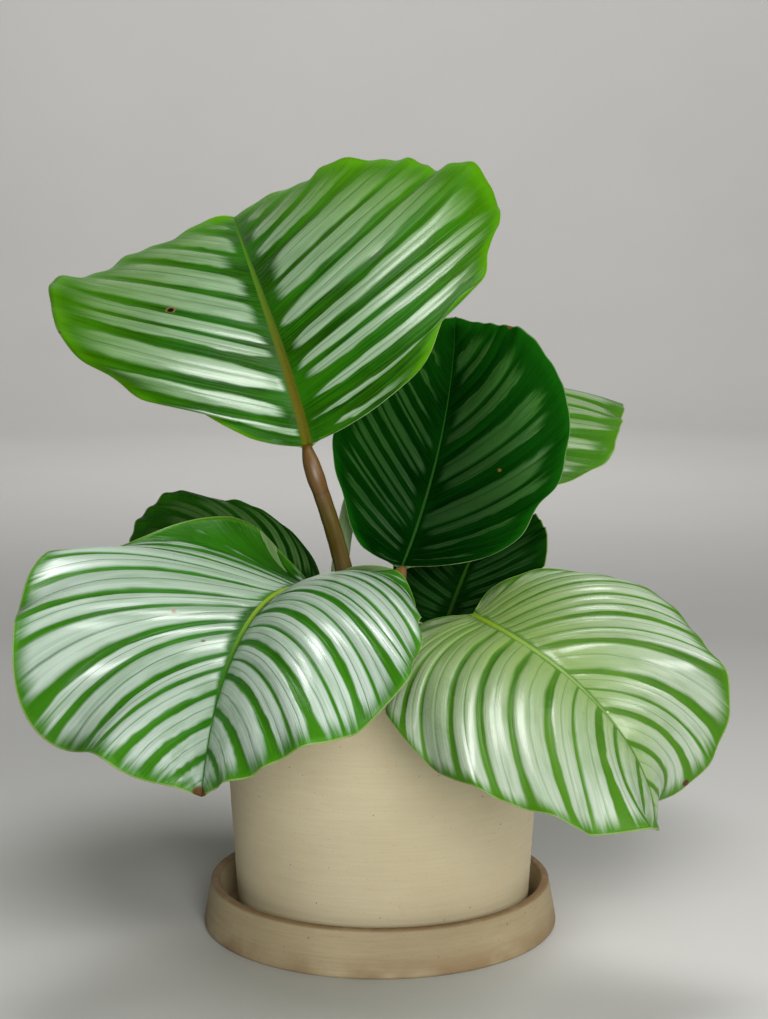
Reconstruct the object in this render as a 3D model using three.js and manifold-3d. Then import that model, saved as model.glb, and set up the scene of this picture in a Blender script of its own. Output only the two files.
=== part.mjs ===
// A round-leaved foliage plant in a plain stoneware pot that stands in its saucer.
// Units are millimetres, +Z is up, and the plant is seen from the front along +Y.
// The origin is the middle of the saucer's underside, on the surface that it rests on.

import * as THREE from 'three';
import { mergeVertices } from 'three/addons/utils/BufferGeometryUtils.js';
import Module from 'manifold-3d';

// Space left between two pieces that touch each other
const SEAT_GAP = 0.3;
const LATHE_SEGMENTS = 48;

// Saucer
const SAUCER = {
  baseRadius: 88.5,
  rimOuterRadius: 85,
  rimInnerRadius: 80.5,
  height: 23,
  floor: 6,
  innerFloorRadius: 76.5,
  edgeRound: 1.6,
};

// Pot, which stands a little off the middle of its saucer
const POT = {
  offsetX: 1.5,
  topRadius: 80.5,
  baseRadius: 72.8,
  height: 130,
  wall: 6,
  floor: 8,
  drainRadius: 7,
  edgeRound: 1.5,
};

// Soil, which fills the pot to just below its rim, with a low crown and soft lumps on top
const SOIL = {
  belowRim: 14,
  crown: 3,
  lumpHeight: 1.2,
  lumpWidth: 9,
  rings: 7,
  stemDepth: 30,
};

// Petioles: the stems that carry one leaf each, with a swollen joint just under the leaf
const PETIOLE = {
  footRadius: 5.4,
  neckRadius: 3.8,
  endRadius: 1.7,
  endTaper: 5,
  jointLength: 22,
  jointSwell: 0.6,
  straightFoot: 4,
  sides: 8,
  steps: 12,
};

// Leaf blades: each is a grid of rows, which follow the side veins, and columns, which follow the margin
const BLADE = {
  thickness: 0.8,
  midribDepth: 1.8,
  rows: 24,
  columns: 6,
  columnPower: 1.15,
  pleat: 0.6,
  waveReach: 3,
  rippleReach: 4,
  midribPower: 1.6,
  midribSteps: 60,
  veinBow: 0.15,
  tipLength: 0.04,
  tipSharpness: 0.16,
  lobeReach: 0.5,
};

// Colour and roughness of each material
const FINISHES = {
  pot: { color: 0xd8cdb9, roughness: 0.8 },
  saucer: { color: 0xcfc0a8, roughness: 0.8 },
  soil: { color: 0x3a2c22, roughness: 1 },
  petiole: { color: 0x8a8a4a, roughness: 0.5 },
  blade: { color: 0x5d9a4a, roughness: 0.35 },
};

// A half of a blade where the photograph shows nothing else
const PLAIN_HALF = {
  fold: 10, arch: 20, lobe: 0.3, skew: 0, margin: [],
  waves: 2.5, lift: 3, phase: 0, ripples: 5, ripple: 1.5, ripplePhase: 0,
};

// The leaves, placed from the middle of the pot. Angles are in degrees.
// heading turns from +X towards +Y, pitch is up from level, roll lifts the right half.
// sweep, droop and twist are the change of heading, pitch and roll from base to tip.
// fold is how far a half rises from the midrib, arch is how far it bends down again.
// waves and ripples are the long and short waves of the margin, with their heights lift and ripple.
// foot is where the stem leaves the soil; rise and run say how far it climbs before it leans over.
const LEAVES = [
  {
    name: 'upper_left',
    base: [-36, -29, 243],
    heading: 109, sweep: -12, pitch: 55, droop: 44.3, droopPower: 0.5, roll: 13, twist: 3.4,
    length: 257, veinSpread: 0.62,
    left: {
      width: 107, fold: 14.3, arch: 24.2, lobe: -0.08, skew: -0.14,
      waves: 1.4, lift: 9, phase: 252, ripples: 4.3, ripple: 2.5, ripplePhase: 34,
      margin: [2.4, -1.5, -7.3, 0.2, -4, 1.1, 0, -1.6, -0.2, 2.1, -0.5, -2.3, -0.8, -0.7],
    },
    right: {
      width: 131, fold: 24, arch: 33.6, lobe: -0.1, skew: -0.2,
      waves: 3.3, lift: 4, phase: -90, ripples: 6.2, ripple: 2.5, ripplePhase: 162,
      margin: [-0.9, 2.4, 4.1, -2.1, 5.1, -0.7, 2.4, 2.3, 0.6, -6, -1.9, -1.3, -9, 4.1],
    },
    foot: [-13, -14], rise: 0.5, run: 0.2,
  },
  {
    name: 'middle_right',
    base: [10, 14, 178],
    heading: 63, sweep: 24, pitch: 46, droop: 0, droopPower: 1, roll: -26.2, twist: 28.1,
    length: 166, veinSpread: 0.57,
    left: {
      width: 57, fold: 29.7, arch: 20.4, lobe: 0.3, skew: 0,
      waves: 2.8, lift: 1.5, phase: -28, ripples: 4.6, ripple: 1.8, ripplePhase: -28,
      margin: [-4.4, 2.6, 2.1, 0.2, 1.7, 2.1, 0.1, -0.2, -0.1, 0, 0, 0, 0, 0],
    },
    right: {
      width: 70, fold: 27.9, arch: 28, lobe: 0, skew: 0.05,
      waves: 2.2, lift: 5.5, phase: -84, ripples: 5, ripple: 1.2, ripplePhase: 6,
      margin: [-2.1, 0.3, 1.8, 2.3, -5, 0.9, -2.6, -0.5, -0.2, 0.9, -0.6, -1.8, -1.8, -0.9],
    },
    foot: [4, 0], rise: 0.5, run: 0.3,
  },
  {
    name: 'front_left',
    base: [-34, -37, 175],
    heading: -112, sweep: 10, pitch: 12, droop: 81.8, droopPower: 1.2, roll: -3.7, twist: -21.3,
    length: 167, veinSpread: 0.56,
    left: {
      width: 92, fold: 28.7, arch: 87.9, lobe: 0.32, skew: -0.2,
      waves: 2.6, lift: 5.7, phase: 80.4, ripples: 4.4, ripple: 5.2, ripplePhase: 60.3,
      margin: [-9, -9, 1.1, 0.4, -0.1, -0.6, -6.7, -1.2, -3.9, 0.3, 2.4, 2.7, 1.1, 2.5],
    },
    right: {
      width: 94, fold: 22.3, arch: -19.9, lobe: 0.7, skew: -0.2,
      waves: 2.25, lift: 20.2, phase: 79.6, ripples: 4.2, ripple: 12, ripplePhase: 14.1,
      margin: [-1.8, -4.9, 6.8, 0.7, 2.6, 4, 2.9, 3.8, 0.5, 2.7, 5.8, -0.2, 0, 3.9],
    },
    foot: [-10, -30], rise: 0.7, run: 0.3,
  },
  {
    name: 'front_right',
    base: [43.6, -35.4, 161.8],
    heading: -84, sweep: 79, pitch: 4.4, droop: 91.3, droopPower: 1.6, roll: -26.1, twist: 15.4,
    length: 171, veinSpread: 0.57,
    left: {
      width: 64, fold: 14.9, arch: -0.2, lobe: 0.6, skew: -0.18,
      waves: 1.5, lift: 17.4, phase: 138.6, ripples: 4.2, ripple: 2.5, ripplePhase: 21.2,
      margin: [0.8, -5.9, -9, -5.1, -2.9, -0.2, 0.3, 2, 1.5, -7.2, -1.5, 3.6, 5.1, 3.7],
    },
    right: {
      width: 83, fold: 16.4, arch: 47.7, lobe: 0.56, skew: -0.31,
      waves: 3.9, lift: 3.6, phase: 88.9, ripples: 5.1, ripple: 5.4, ripplePhase: 37.8,
      margin: [2.4, 3.1, -9, -6.8, -4.7, -2, -2.7, -3.2, -4.5, -4.2, -3.1, 3.6, -0.5, -2.7],
    },
    foot: [20, -18], rise: 0.6, run: 0.3,
  },
  {
    name: 'back_right',
    base: [-7, 86, 226],
    heading: 47.7, sweep: 0, pitch: 35.6, droop: 94.1, droopPower: 1.5, roll: -22.6, twist: 31.3,
    length: 185, veinSpread: 0.58,
    left: { ...PLAIN_HALF, width: 45, arch: 30 },
    right: {
      ...PLAIN_HALF, width: 101.9, fold: 6.4, arch: 33.5, skew: 0.15, lift: 5, phase: 180,
      margin: [0, 0, -0.2, -0.8, -2.2, 0.4, 4.9, 1, -0.1, 0.5, 0.6, 0, 0, 0],
    },
    foot: [-24, 34], rise: 0.7, run: 0.15,
  },
  {
    name: 'back_left',
    base: [-33, 19, 165],
    heading: 178, sweep: 0, pitch: 18, droop: 50, droopPower: 1, roll: 25, twist: 0,
    length: 100, veinSpread: 0.58,
    left: { ...PLAIN_HALF, width: 36, fold: 0, arch: 40 },
    right: { ...PLAIN_HALF, width: 54, fold: 35, arch: 30, lobe: 0.1, skew: -0.6 },
    foot: [-24, 10], rise: 0.6, run: 0.2,
  },
  {
    name: 'back_low',
    base: [33, 28, 147],
    heading: 66, sweep: 0, pitch: 44, droop: 16, droopPower: 1, roll: -6, twist: 0,
    length: 92, veinSpread: 0.58,
    left: { ...PLAIN_HALF, width: 40, fold: 15, lobe: 0.5, lift: 2 },
    right: { ...PLAIN_HALF, width: 40, fold: 15, lobe: 0.5, lift: 2 },
    foot: [20, 16], rise: 0.5, run: 0.2,
  },
];

const POT_BASE_Z = SAUCER.floor + SEAT_GAP;
const POT_TOP_Z = POT_BASE_Z + POT.height;
const SOIL_TOP_Z = POT_TOP_Z - SOIL.belowRim;

// Points nearer to each other than this are one point, and a half that bends less is straight
const SAME_POINT = 1e-4;
const STRAIGHT = 1e-6;

const wasm = await Module();
wasm.setup();

const radians = THREE.MathUtils.degToRad;

// Turns a closed geometry into a solid that can be joined and cut
function toSolid(geometry) {
  const bare = geometry.clone();
  bare.deleteAttribute('normal');
  bare.deleteAttribute('uv');
  const merged = mergeVertices(bare, SAME_POINT);
  return new wasm.Manifold(new wasm.Mesh({
    numProp: 3,
    vertProperties: new Float32Array(merged.attributes.position.array),
    triVerts: new Uint32Array(merged.index.array),
  }));
}

// Turns a solid back into a geometry
function toGeometry(solid) {
  const mesh = solid.getMesh();
  return indexedGeometry(Array.from(mesh.vertProperties), Array.from(mesh.triVerts));
}

function indexedGeometry(positions, indices) {
  const geometry = new THREE.BufferGeometry();
  geometry.setAttribute('position', new THREE.Float32BufferAttribute(positions, 3));
  geometry.setIndex(indices);
  geometry.computeVertexNormals();
  return geometry;
}

// A profile in (radius, height) pairs turned round the upright axis
function turned(profile) {
  const points = profile.map(([radius, height]) => new THREE.Vector2(radius, height));
  const geometry = new THREE.LatheGeometry(points, LATHE_SEGMENTS);
  geometry.rotateX(Math.PI / 2);
  return geometry;
}

// Quarter round from one height to another, in steps, about a centre
function rounded(centreRadius, centreHeight, round, startDegrees, endDegrees, steps = 3) {
  const points = [];
  for (let i = 0; i <= steps; i += 1) {
    const angle = radians(startDegrees + ((endDegrees - startDegrees) * i) / steps);
    points.push([centreRadius + round * Math.cos(angle), centreHeight + round * Math.sin(angle)]);
  }
  return points;
}

function potRadius(height) {
  return THREE.MathUtils.lerp(POT.baseRadius, POT.topRadius, height / POT.height);
}

function makeSaucer() {
  const round = SAUCER.edgeRound;
  return turned([
    [0, 0],
    ...rounded(SAUCER.baseRadius - round, round, round, -90, 0),
    ...rounded(SAUCER.rimOuterRadius - round, SAUCER.height - round, round, 0, 90),
    ...rounded(SAUCER.rimInnerRadius + round, SAUCER.height - round, round, 90, 180),
    [SAUCER.innerFloorRadius + round, SAUCER.floor + round],
    [SAUCER.innerFloorRadius, SAUCER.floor],
    [0, SAUCER.floor],
  ]);
}

function makePot() {
  const round = POT.edgeRound;
  const inner = (height) => potRadius(height) - POT.wall;
  const profile = [
    [POT.drainRadius, 0],
    ...rounded(POT.baseRadius - round, round, round, -90, 0),
    ...rounded(POT.topRadius - round, POT.height - round, round, 0, 90),
    ...rounded(inner(POT.height) + round, POT.height - round, round, 90, 180),
    [inner(POT.floor), POT.floor],
    [POT.drainRadius, POT.floor],
  ];
  profile.push(profile[0]);
  return turned(profile).translate(0, 0, POT_BASE_Z);
}

// Height of the soil above its edge: the crown and the lumps both fade out towards the pot's wall
function soilHeight(x, y, reach) {
  const share = Math.hypot(x, y) / reach;
  const lumps = Math.sin(x / SOIL.lumpWidth) * Math.cos(y / SOIL.lumpWidth);
  return Math.max(0, SOIL.crown * (1 - share * share) + SOIL.lumpHeight * lumps * (1 - share));
}

// The soil plug with a plain hole for each stem
function makeSoil() {
  const bottom = POT_BASE_Z + POT.floor + SEAT_GAP;
  const reach = (z) => potRadius(z - POT_BASE_Z) - POT.wall - SEAT_GAP;
  const topReach = reach(SOIL_TOP_Z);
  const top = [];
  for (let i = 0; i < SOIL.rings; i += 1) {
    top.push([topReach * (1 - i / SOIL.rings), SOIL_TOP_Z]);
  }
  const geometry = turned([[0, bottom], [reach(bottom), bottom], ...top, [0, SOIL_TOP_Z]]);
  const position = geometry.attributes.position;
  for (let i = 0; i < position.count; i += 1) {
    if (position.getZ(i) > SOIL_TOP_Z - SEAT_GAP) {
      const lift = soilHeight(position.getX(i), position.getY(i), topReach);
      position.setZ(i, SOIL_TOP_Z + lift);
    }
  }
  let solid = toSolid(geometry);
  const holeBottom = SOIL_TOP_Z - SOIL.stemDepth - SEAT_GAP;
  const holeHeight = POT_TOP_Z - holeBottom;
  for (const leaf of LEAVES) {
    const hole = new THREE.CylinderGeometry(
      PETIOLE.footRadius + SEAT_GAP, PETIOLE.footRadius + SEAT_GAP, holeHeight, PETIOLE.sides * 2,
    );
    hole.rotateX(Math.PI / 2);
    hole.translate(leaf.foot[0], leaf.foot[1], holeBottom + holeHeight / 2);
    solid = solid.subtract(toSolid(hole));
  }
  return toGeometry(solid);
}

// A leaf's own directions at a share of its length: along the midrib, to its right, and out of its face
function midribFrame(leaf, share) {
  const clamped = THREE.MathUtils.clamp(share, 0, 1);
  const pitch = radians(leaf.pitch - leaf.droop * clamped ** leaf.droopPower);
  const heading = radians(leaf.heading + leaf.sweep * clamped);
  const roll = radians(leaf.roll + leaf.twist * clamped);
  const along = new THREE.Vector3(
    Math.cos(pitch) * Math.cos(heading), Math.cos(pitch) * Math.sin(heading), Math.sin(pitch),
  );
  const level = new THREE.Vector3(
    -Math.sin(pitch) * Math.cos(heading), -Math.sin(pitch) * Math.sin(heading), Math.cos(pitch),
  );
  const flatSide = new THREE.Vector3().crossVectors(along, level);
  const side = flatSide.clone().multiplyScalar(Math.cos(roll)).addScaledVector(level, Math.sin(roll));
  const face = level.clone().multiplyScalar(Math.cos(roll)).addScaledVector(flatSide, -Math.sin(roll));
  return { along, side, face };
}

// Points of the midrib, found by stepping along its direction
function midribPoints(leaf) {
  const points = [new THREE.Vector3(...leaf.base)];
  const step = leaf.length / BLADE.midribSteps;
  for (let i = 0; i < BLADE.midribSteps; i += 1) {
    const { along } = midribFrame(leaf, (i + 0.5) / BLADE.midribSteps);
    points.push(points[i].clone().addScaledVector(along, step));
  }
  return points;
}

// Point of the midrib at a share of its length, running straight on behind the base
function midribAt(leaf, points, share) {
  const clamped = THREE.MathUtils.clamp(share, 0, 1);
  const place = clamped * BLADE.midribSteps;
  const index = Math.min(Math.floor(place), BLADE.midribSteps - 1);
  const point = points[index].clone().lerp(points[index + 1], place - index);
  return point.addScaledVector(midribFrame(leaf, clamped).along, (share - clamped) * leaf.length);
}

/**
 * How far the margin stands outside its ellipse, as a share of its distance from the blade's middle.
 * The half's own numbers, in hundredths, stand at even steps of the angle from base to tip, and a bell
 * curve spreads each one over its neighbours. It is 0 at the base and at the tip.
 * @param {object} half one half of a leaf's values
 * @param {number} angle angle round the margin, from 0 at the base to pi at the tip
 * @returns {number} the share
 */
function marginGrowth(half, angle) {
  const place = (angle / Math.PI) * (half.margin.length + 1);
  const bell = (growth, index) => 0.01 * growth * Math.exp(-(((place - index - 1) / 0.75) ** 2));
  const total = half.margin.map(bell).reduce((sum, share) => sum + share, 0);
  return total * Math.min(1, 3 * Math.sin(angle));
}

// Where vein s (0 at the base, 1 at the tip) lies on the flattened leaf at share t of its run
function flatPoint(leaf, half, s, t) {
  const angle = Math.PI * s ** leaf.veinSpread;
  const grown = 1 + marginGrowth(half, angle);
  const edgeX = grown * half.width * Math.sin(angle) * (1 + half.skew * Math.cos(angle));
  const rounding = (1 - Math.cos(angle)) / 2;
  const lobe = half.lobe * Math.sin(angle) * Math.exp(-angle / BLADE.lobeReach);
  const point = BLADE.tipLength * Math.exp(-(Math.PI - angle) / BLADE.tipSharpness);
  const ellipseY = (leaf.length / (1 + BLADE.tipLength)) * (rounding - lobe + point);
  const edgeY = leaf.length / 2 + grown * (ellipseY - leaf.length / 2);
  const startY = leaf.length * s ** BLADE.midribPower;
  const run = edgeY - startY;
  const bendX = edgeX / 2 + BLADE.veinBow * run;
  const bendY = startY + run / 2 - BLADE.veinBow * edgeX;
  return {
    x: 2 * t * (1 - t) * bendX + t * t * edgeX,
    y: (1 - t) ** 2 * startY + 2 * t * (1 - t) * bendY + t * t * edgeY,
  };
}

// Point of the blade's upper face, and the direction out of it.
// hand is 1 on the right half and -1 on the left.
function bladePoint(leaf, points, hand, s, t) {
  const half = hand > 0 ? leaf.right : leaf.left;
  const { x, y } = flatPoint(leaf, half, s, t);
  const share = y / leaf.length;
  const { side, face } = midribFrame(leaf, share);
  const fold = radians(half.fold);
  const bend = radians(half.arch) / half.width;
  const slope = fold - bend * x;
  const straight = Math.abs(bend) < STRAIGHT;
  const across = straight ? x * Math.cos(fold) : (Math.sin(fold) - Math.sin(slope)) / bend;
  const above = straight ? x * Math.sin(fold) : (Math.cos(slope) - Math.cos(fold)) / bend;
  const fade = Math.sqrt(Math.sin(Math.PI * s));
  const waveTurn = 2 * Math.PI * half.waves * s + radians(half.phase);
  const wave = half.lift * t ** BLADE.waveReach * Math.sin(waveTurn) * fade;
  const rippleTurn = 2 * Math.PI * half.ripples * s + radians(half.ripplePhase);
  const ripple = half.ripple * t ** BLADE.rippleReach * Math.sin(rippleTurn) * fade;
  const pleat = BLADE.pleat * Math.cos(Math.PI * BLADE.rows * s) * Math.sin(Math.PI * t) * fade;
  const lift = wave + ripple + pleat;
  const normal = face.clone().multiplyScalar(Math.cos(slope))
    .addScaledVector(side, -hand * Math.sin(slope));
  const point = midribAt(leaf, points, share)
    .addScaledVector(side, hand * across)
    .addScaledVector(face, above)
    .addScaledVector(normal, lift);
  return { point, normal: t > 0 ? normal : face };
}

// The blade as one closed sheet: an upper and a lower face on the same grid, joined along the margin
function makeBlade(leaf) {
  const points = midribPoints(leaf);
  const { rows, columns } = BLADE;
  const positions = [];
  const known = new Map();

  function vertex(row, column, below) {
    const end = row === 0 || row === rows;
    const key = `${row}|${end ? 0 : column}|${below}`;
    if (!known.has(key)) {
      const s = row / rows;
      const t = end ? 0 : (Math.abs(column) / columns) ** BLADE.columnPower;
      const { point, normal } = bladePoint(leaf, points, Math.sign(column) || 1, s, t);
      const midrib = column === 0 && !end ? BLADE.midribDepth * (1 - s) : 0;
      point.addScaledVector(normal, below ? -(BLADE.thickness + midrib) : 0);
      known.set(key, positions.length / 3);
      positions.push(point.x, point.y, point.z);
    }
    return known.get(key);
  }

  const indices = [];
  function triangle(a, b, c) {
    if (a !== b && b !== c && c !== a) {
      indices.push(a, b, c);
    }
  }

  for (let row = 0; row < rows; row += 1) {
    for (let column = -columns; column < columns; column += 1) {
      for (const below of [false, true]) {
        const a = vertex(row, column, below);
        const b = vertex(row, column + 1, below);
        const c = vertex(row + 1, column + 1, below);
        const d = vertex(row + 1, column, below);
        const corners = column < 0 ? [[a, b, c], [a, c, d]] : [[a, b, d], [b, c, d]];
        for (const [p, q, r] of corners) {
          if (below) {
            triangle(p, r, q);
          } else {
            triangle(p, q, r);
          }
        }
      }
    }
    for (const column of [-columns, columns]) {
      const a = vertex(row, column, false);
      const b = vertex(row + 1, column, false);
      const c = vertex(row + 1, column, true);
      const d = vertex(row, column, true);
      if (column > 0) {
        triangle(a, d, c);
        triangle(a, c, b);
      } else {
        triangle(a, c, d);
        triangle(a, b, c);
      }
    }
  }
  return indexedGeometry(positions, indices);
}

// The curve of a stem, from its end in the soil to just under the base of its leaf
function petioleCurve(leaf) {
  const { along, face } = midribFrame(leaf, 0);
  const [footX, footY] = leaf.foot;
  const bottom = SOIL_TOP_Z - SOIL.stemDepth;
  const reach = BLADE.thickness + SEAT_GAP + PETIOLE.endRadius;
  const end = new THREE.Vector3(...leaf.base).addScaledVector(face, -reach);
  const start = new THREE.Vector3(footX, footY, SOIL_TOP_Z + PETIOLE.straightFoot);
  const height = end.z - start.z;
  const first = start.clone().add(new THREE.Vector3(0, 0, height * leaf.rise));
  const last = end.clone().addScaledVector(along, -height * leaf.run);
  const path = new THREE.CurvePath();
  path.add(new THREE.LineCurve3(new THREE.Vector3(footX, footY, bottom), start));
  path.add(new THREE.CubicBezierCurve3(start, first, last, end));
  return path;
}

// Radius of a stem. grown runs from 0 at the soil to 1 at the leaf, left is the length still to go
function petioleRadius(grown, left) {
  if (left === 0) {
    return PETIOLE.endRadius;
  }
  const slender = THREE.MathUtils.lerp(PETIOLE.footRadius, PETIOLE.neckRadius, Math.sqrt(grown));
  const joint = Math.max(0, 1 - left / PETIOLE.jointLength);
  return slender + PETIOLE.jointSwell * Math.sin(Math.PI * joint);
}

// A round stem that narrows from its foot to its neck and comes to a blunt end under the leaf
function makePetiole(leaf) {
  const path = petioleCurve(leaf);
  const length = path.getLength();
  const { sides, steps } = PETIOLE;
  const buried = path.curves[0].getLength() / length;
  const shares = [0];
  for (let i = 0; i <= steps; i += 1) {
    shares.push(buried + (1 - buried - PETIOLE.endTaper / length) * (i / steps));
  }
  shares.push(1);
  const positions = [];
  let across = new THREE.Vector3(1, 0, 0);
  for (const share of shares) {
    const centre = path.getPointAt(share);
    const tangent = path.getTangentAt(share);
    across = across.clone().addScaledVector(tangent, -across.dot(tangent)).normalize();
    const other = new THREE.Vector3().crossVectors(tangent, across);
    const grown = THREE.MathUtils.clamp((share - buried) / (1 - buried), 0, 1);
    const radius = petioleRadius(grown, length * (1 - share));
    for (let k = 0; k < sides; k += 1) {
      const angle = (2 * Math.PI * k) / sides;
      const point = centre.clone()
        .addScaledVector(across, radius * Math.cos(angle))
        .addScaledVector(other, radius * Math.sin(angle));
      positions.push(point.x, point.y, point.z);
    }
  }
  const indices = [];
  for (let ring = 0; ring < shares.length - 1; ring += 1) {
    for (let k = 0; k < sides; k += 1) {
      const a = ring * sides + k;
      const b = ring * sides + ((k + 1) % sides);
      indices.push(a, b, b + sides, a, b + sides, a + sides);
    }
  }
  const lastRing = (shares.length - 1) * sides;
  for (let k = 1; k < sides - 1; k += 1) {
    indices.push(0, k + 1, k);
    indices.push(lastRing, lastRing + k, lastRing + k + 1);
  }
  return indexedGeometry(positions, indices);
}

function named(name, geometry, finish) {
  const mesh = new THREE.Mesh(geometry, new THREE.MeshStandardMaterial({ ...finish, metalness: 0 }));
  mesh.name = name;
  return mesh;
}

const plant = new THREE.Group();
plant.add(named('saucer', makeSaucer(), FINISHES.saucer));

const potted = new THREE.Group();
potted.position.set(POT.offsetX, 0, 0);
potted.add(named('pot', makePot(), FINISHES.pot));
potted.add(named('soil', makeSoil(), FINISHES.soil));
for (const leaf of LEAVES) {
  potted.add(named(`petiole_${leaf.name}`, makePetiole(leaf), FINISHES.petiole));
  potted.add(named(`leaf_${leaf.name}`, makeBlade(leaf), FINISHES.blade));
}
plant.add(potted);

export default plant;
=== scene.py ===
"""A round-leaved foliage plant in a stoneware pot and saucer, dressed for the camera.

Lengths are in millimetres in the sizes below and in metres in the meshes. +Z is up, and the plant is
seen from the front along +Y. Each blade and stem, the soil, the pot and the saucer is a surface of two
parameters, worked out as whole arrays, and stands for one plain solid of the frame.
"""

import logging
import math
from dataclasses import dataclass
from enum import Enum

import bpy
import numpy as np
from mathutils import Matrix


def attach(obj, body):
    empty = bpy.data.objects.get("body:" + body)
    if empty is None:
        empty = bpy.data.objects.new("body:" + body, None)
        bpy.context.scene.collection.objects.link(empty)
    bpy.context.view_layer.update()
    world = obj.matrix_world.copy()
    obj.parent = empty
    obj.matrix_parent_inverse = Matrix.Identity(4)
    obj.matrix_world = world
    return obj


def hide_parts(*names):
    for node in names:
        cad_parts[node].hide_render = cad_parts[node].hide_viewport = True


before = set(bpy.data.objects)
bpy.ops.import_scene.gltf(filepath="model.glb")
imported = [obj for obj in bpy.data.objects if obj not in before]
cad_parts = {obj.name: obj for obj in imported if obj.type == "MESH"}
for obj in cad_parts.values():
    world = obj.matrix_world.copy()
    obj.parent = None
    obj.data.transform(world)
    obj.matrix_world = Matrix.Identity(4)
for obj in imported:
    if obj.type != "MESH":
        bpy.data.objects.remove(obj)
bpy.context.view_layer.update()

LOG = logging.getLogger("plant")
MM = 0.001
BODY = "root"

# Sizes that the pieces share. The pot stands a little right of the saucer's middle
SAUCER_FLOOR = 6.0
SEAT_GAP = 0.3
POT_OFFSET = 1.5
POT_BASE_Z = SAUCER_FLOOR + SEAT_GAP
POT_HEIGHT = 130.0
SOIL_DEPTH = 14.0
SOIL_TOP_Z = POT_BASE_Z + POT_HEIGHT - SOIL_DEPTH

Colour = tuple[float, float, float]
ProfilePoint = tuple[float, float] | np.ndarray


def linear(red: int, green: int, blue: int) -> Colour:
    """Turns a colour of 0 to 255 a channel, as seen on a screen, into the light that it stands for.

    Args:
        red: The red channel.
        green: The green channel.
        blue: The blue channel.

    Returns:
        The three channels from 0 to 1, in linear light.
    """
    shares = [channel / 255 for channel in (red, green, blue)]
    return tuple(s / 12.92 if s <= 0.04045 else ((s + 0.055) / 1.055) ** 2.4 for s in shares)


def smooth_step(low: float, high: float, value: np.ndarray) -> np.ndarray:
    """Rises from 0 at low to 1 at high, level at both ends.

    Args:
        low: Where the rise starts.
        high: Where the rise ends.
        value: The values to ease.

    Returns:
        The eased values.
    """
    share = np.clip((value - low) / (high - low), 0, 1)
    return share * share * (3 - 2 * share)


def soft_noise(place: np.ndarray, size: float, seed: int, waves: int = 14) -> np.ndarray:
    """Smooth random heights: the mean of plane waves with random directions, lengths and phases.

    Args:
        place: Points, with their coordinates in the last axis.
        size: Length of the waves, in the unit of the points.
        seed: Picks one of many patterns.
        waves: How many waves are added.

    Returns:
        Heights of about -1 to 1, one for each point.
    """
    rng = np.random.default_rng(seed)
    total = np.zeros(place.shape[:-1])
    for _ in range(waves):
        direction = rng.normal(size=place.shape[-1])
        direction *= 2 * math.pi / (size * rng.uniform(0.7, 1.6) * np.linalg.norm(direction))
        total += np.sin(place @ direction + rng.uniform(0, 2 * math.pi))
    return total * math.sqrt(2 / waves) * 0.7


# Meshes


def ring_faces(rings: int, around: int) -> list[np.ndarray]:
    """Faces of a tube of rings, each ring closed on itself, with rows of four corners.

    Args:
        rings: How many rings the tube has.
        around: How many points each ring has.

    Returns:
        One array with four corners a face.
    """
    ring, point = np.meshgrid(np.arange(rings - 1), np.arange(around), indexing="ij")
    after = (point + 1) % around
    corners = [ring * around + point, ring * around + after]
    corners += [(ring + 1) * around + after, (ring + 1) * around + point]
    return [np.stack(corners, -1).reshape(-1, 4)]


def cap_faces(rings: int, around: int) -> list[np.ndarray]:
    """Triangles from a first pole, before ring 0, and to a last pole, after the last ring.

    Args:
        rings: How many rings lie between the poles.
        around: How many points each ring has.

    Returns:
        Two arrays with three corners a face. The poles are the two points after the last ring's.
    """
    point = np.arange(around)
    after = (point + 1) % around
    first = np.full(around, rings * around)
    last_ring = (rings - 1) * around
    start = np.stack([first, after, point], -1)
    end = np.stack([first + 1, last_ring + point, last_ring + after], -1)
    return [start, end]


def make_object(name: str, points: np.ndarray, faces: list[np.ndarray],
                marks: dict[str, np.ndarray] | None = None, offset: float = 0.0) -> bpy.types.Object:
    """Puts points and faces into a new smooth-shaded object in the scene.

    Args:
        name: The object's name.
        points: Places in millimetres, one row for each.
        faces: Arrays of corner numbers, one row for each face.
        marks: Named triples, one row for each point, that the materials read.
        offset: How far right the points are moved, in millimetres.

    Returns:
        The new object.
    """
    mesh = bpy.data.meshes.new(name)
    places = (points * MM).astype(np.float32)
    places[:, 0] += offset * MM
    counts = np.concatenate([np.full(len(f), f.shape[1], dtype=np.int32) for f in faces])
    corners = np.concatenate([f.reshape(-1) for f in faces]).astype(np.int32)
    starts = np.concatenate([[0], np.cumsum(counts)[:-1]]).astype(np.int32)
    mesh.vertices.add(len(points))
    mesh.vertices.foreach_set("co", places.reshape(-1))
    mesh.loops.add(len(corners))
    mesh.loops.foreach_set("vertex_index", corners)
    mesh.polygons.add(len(counts))
    mesh.polygons.foreach_set("loop_start", starts)
    mesh.polygons.foreach_set("use_smooth", np.ones(len(counts), dtype=bool))
    mesh.update(calc_edges=True)
    for mark, values in (marks or {}).items():
        layer = mesh.attributes.new(mark, "FLOAT_VECTOR", "POINT")
        layer.data.foreach_set("vector", values.astype(np.float32).reshape(-1))
    mesh.validate()
    piece = bpy.data.objects.new(name, mesh)
    bpy.context.scene.collection.objects.link(piece)
    return piece


def dress(piece: bpy.types.Object, material: bpy.types.Material, slot: str, *nodes: str) -> None:
    """Gives a piece its material and its body, and hides the solids that it stands for.

    Args:
        piece: The piece.
        material: What it is made of.
        slot: The record's name for that material. It is not used.
        *nodes: The plain solids that it stands for.
    """
    piece.data.materials.append(material)
    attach(piece, BODY)
    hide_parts(*nodes)
    LOG.info("%s: %d faces", piece.name, len(piece.data.polygons))


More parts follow.
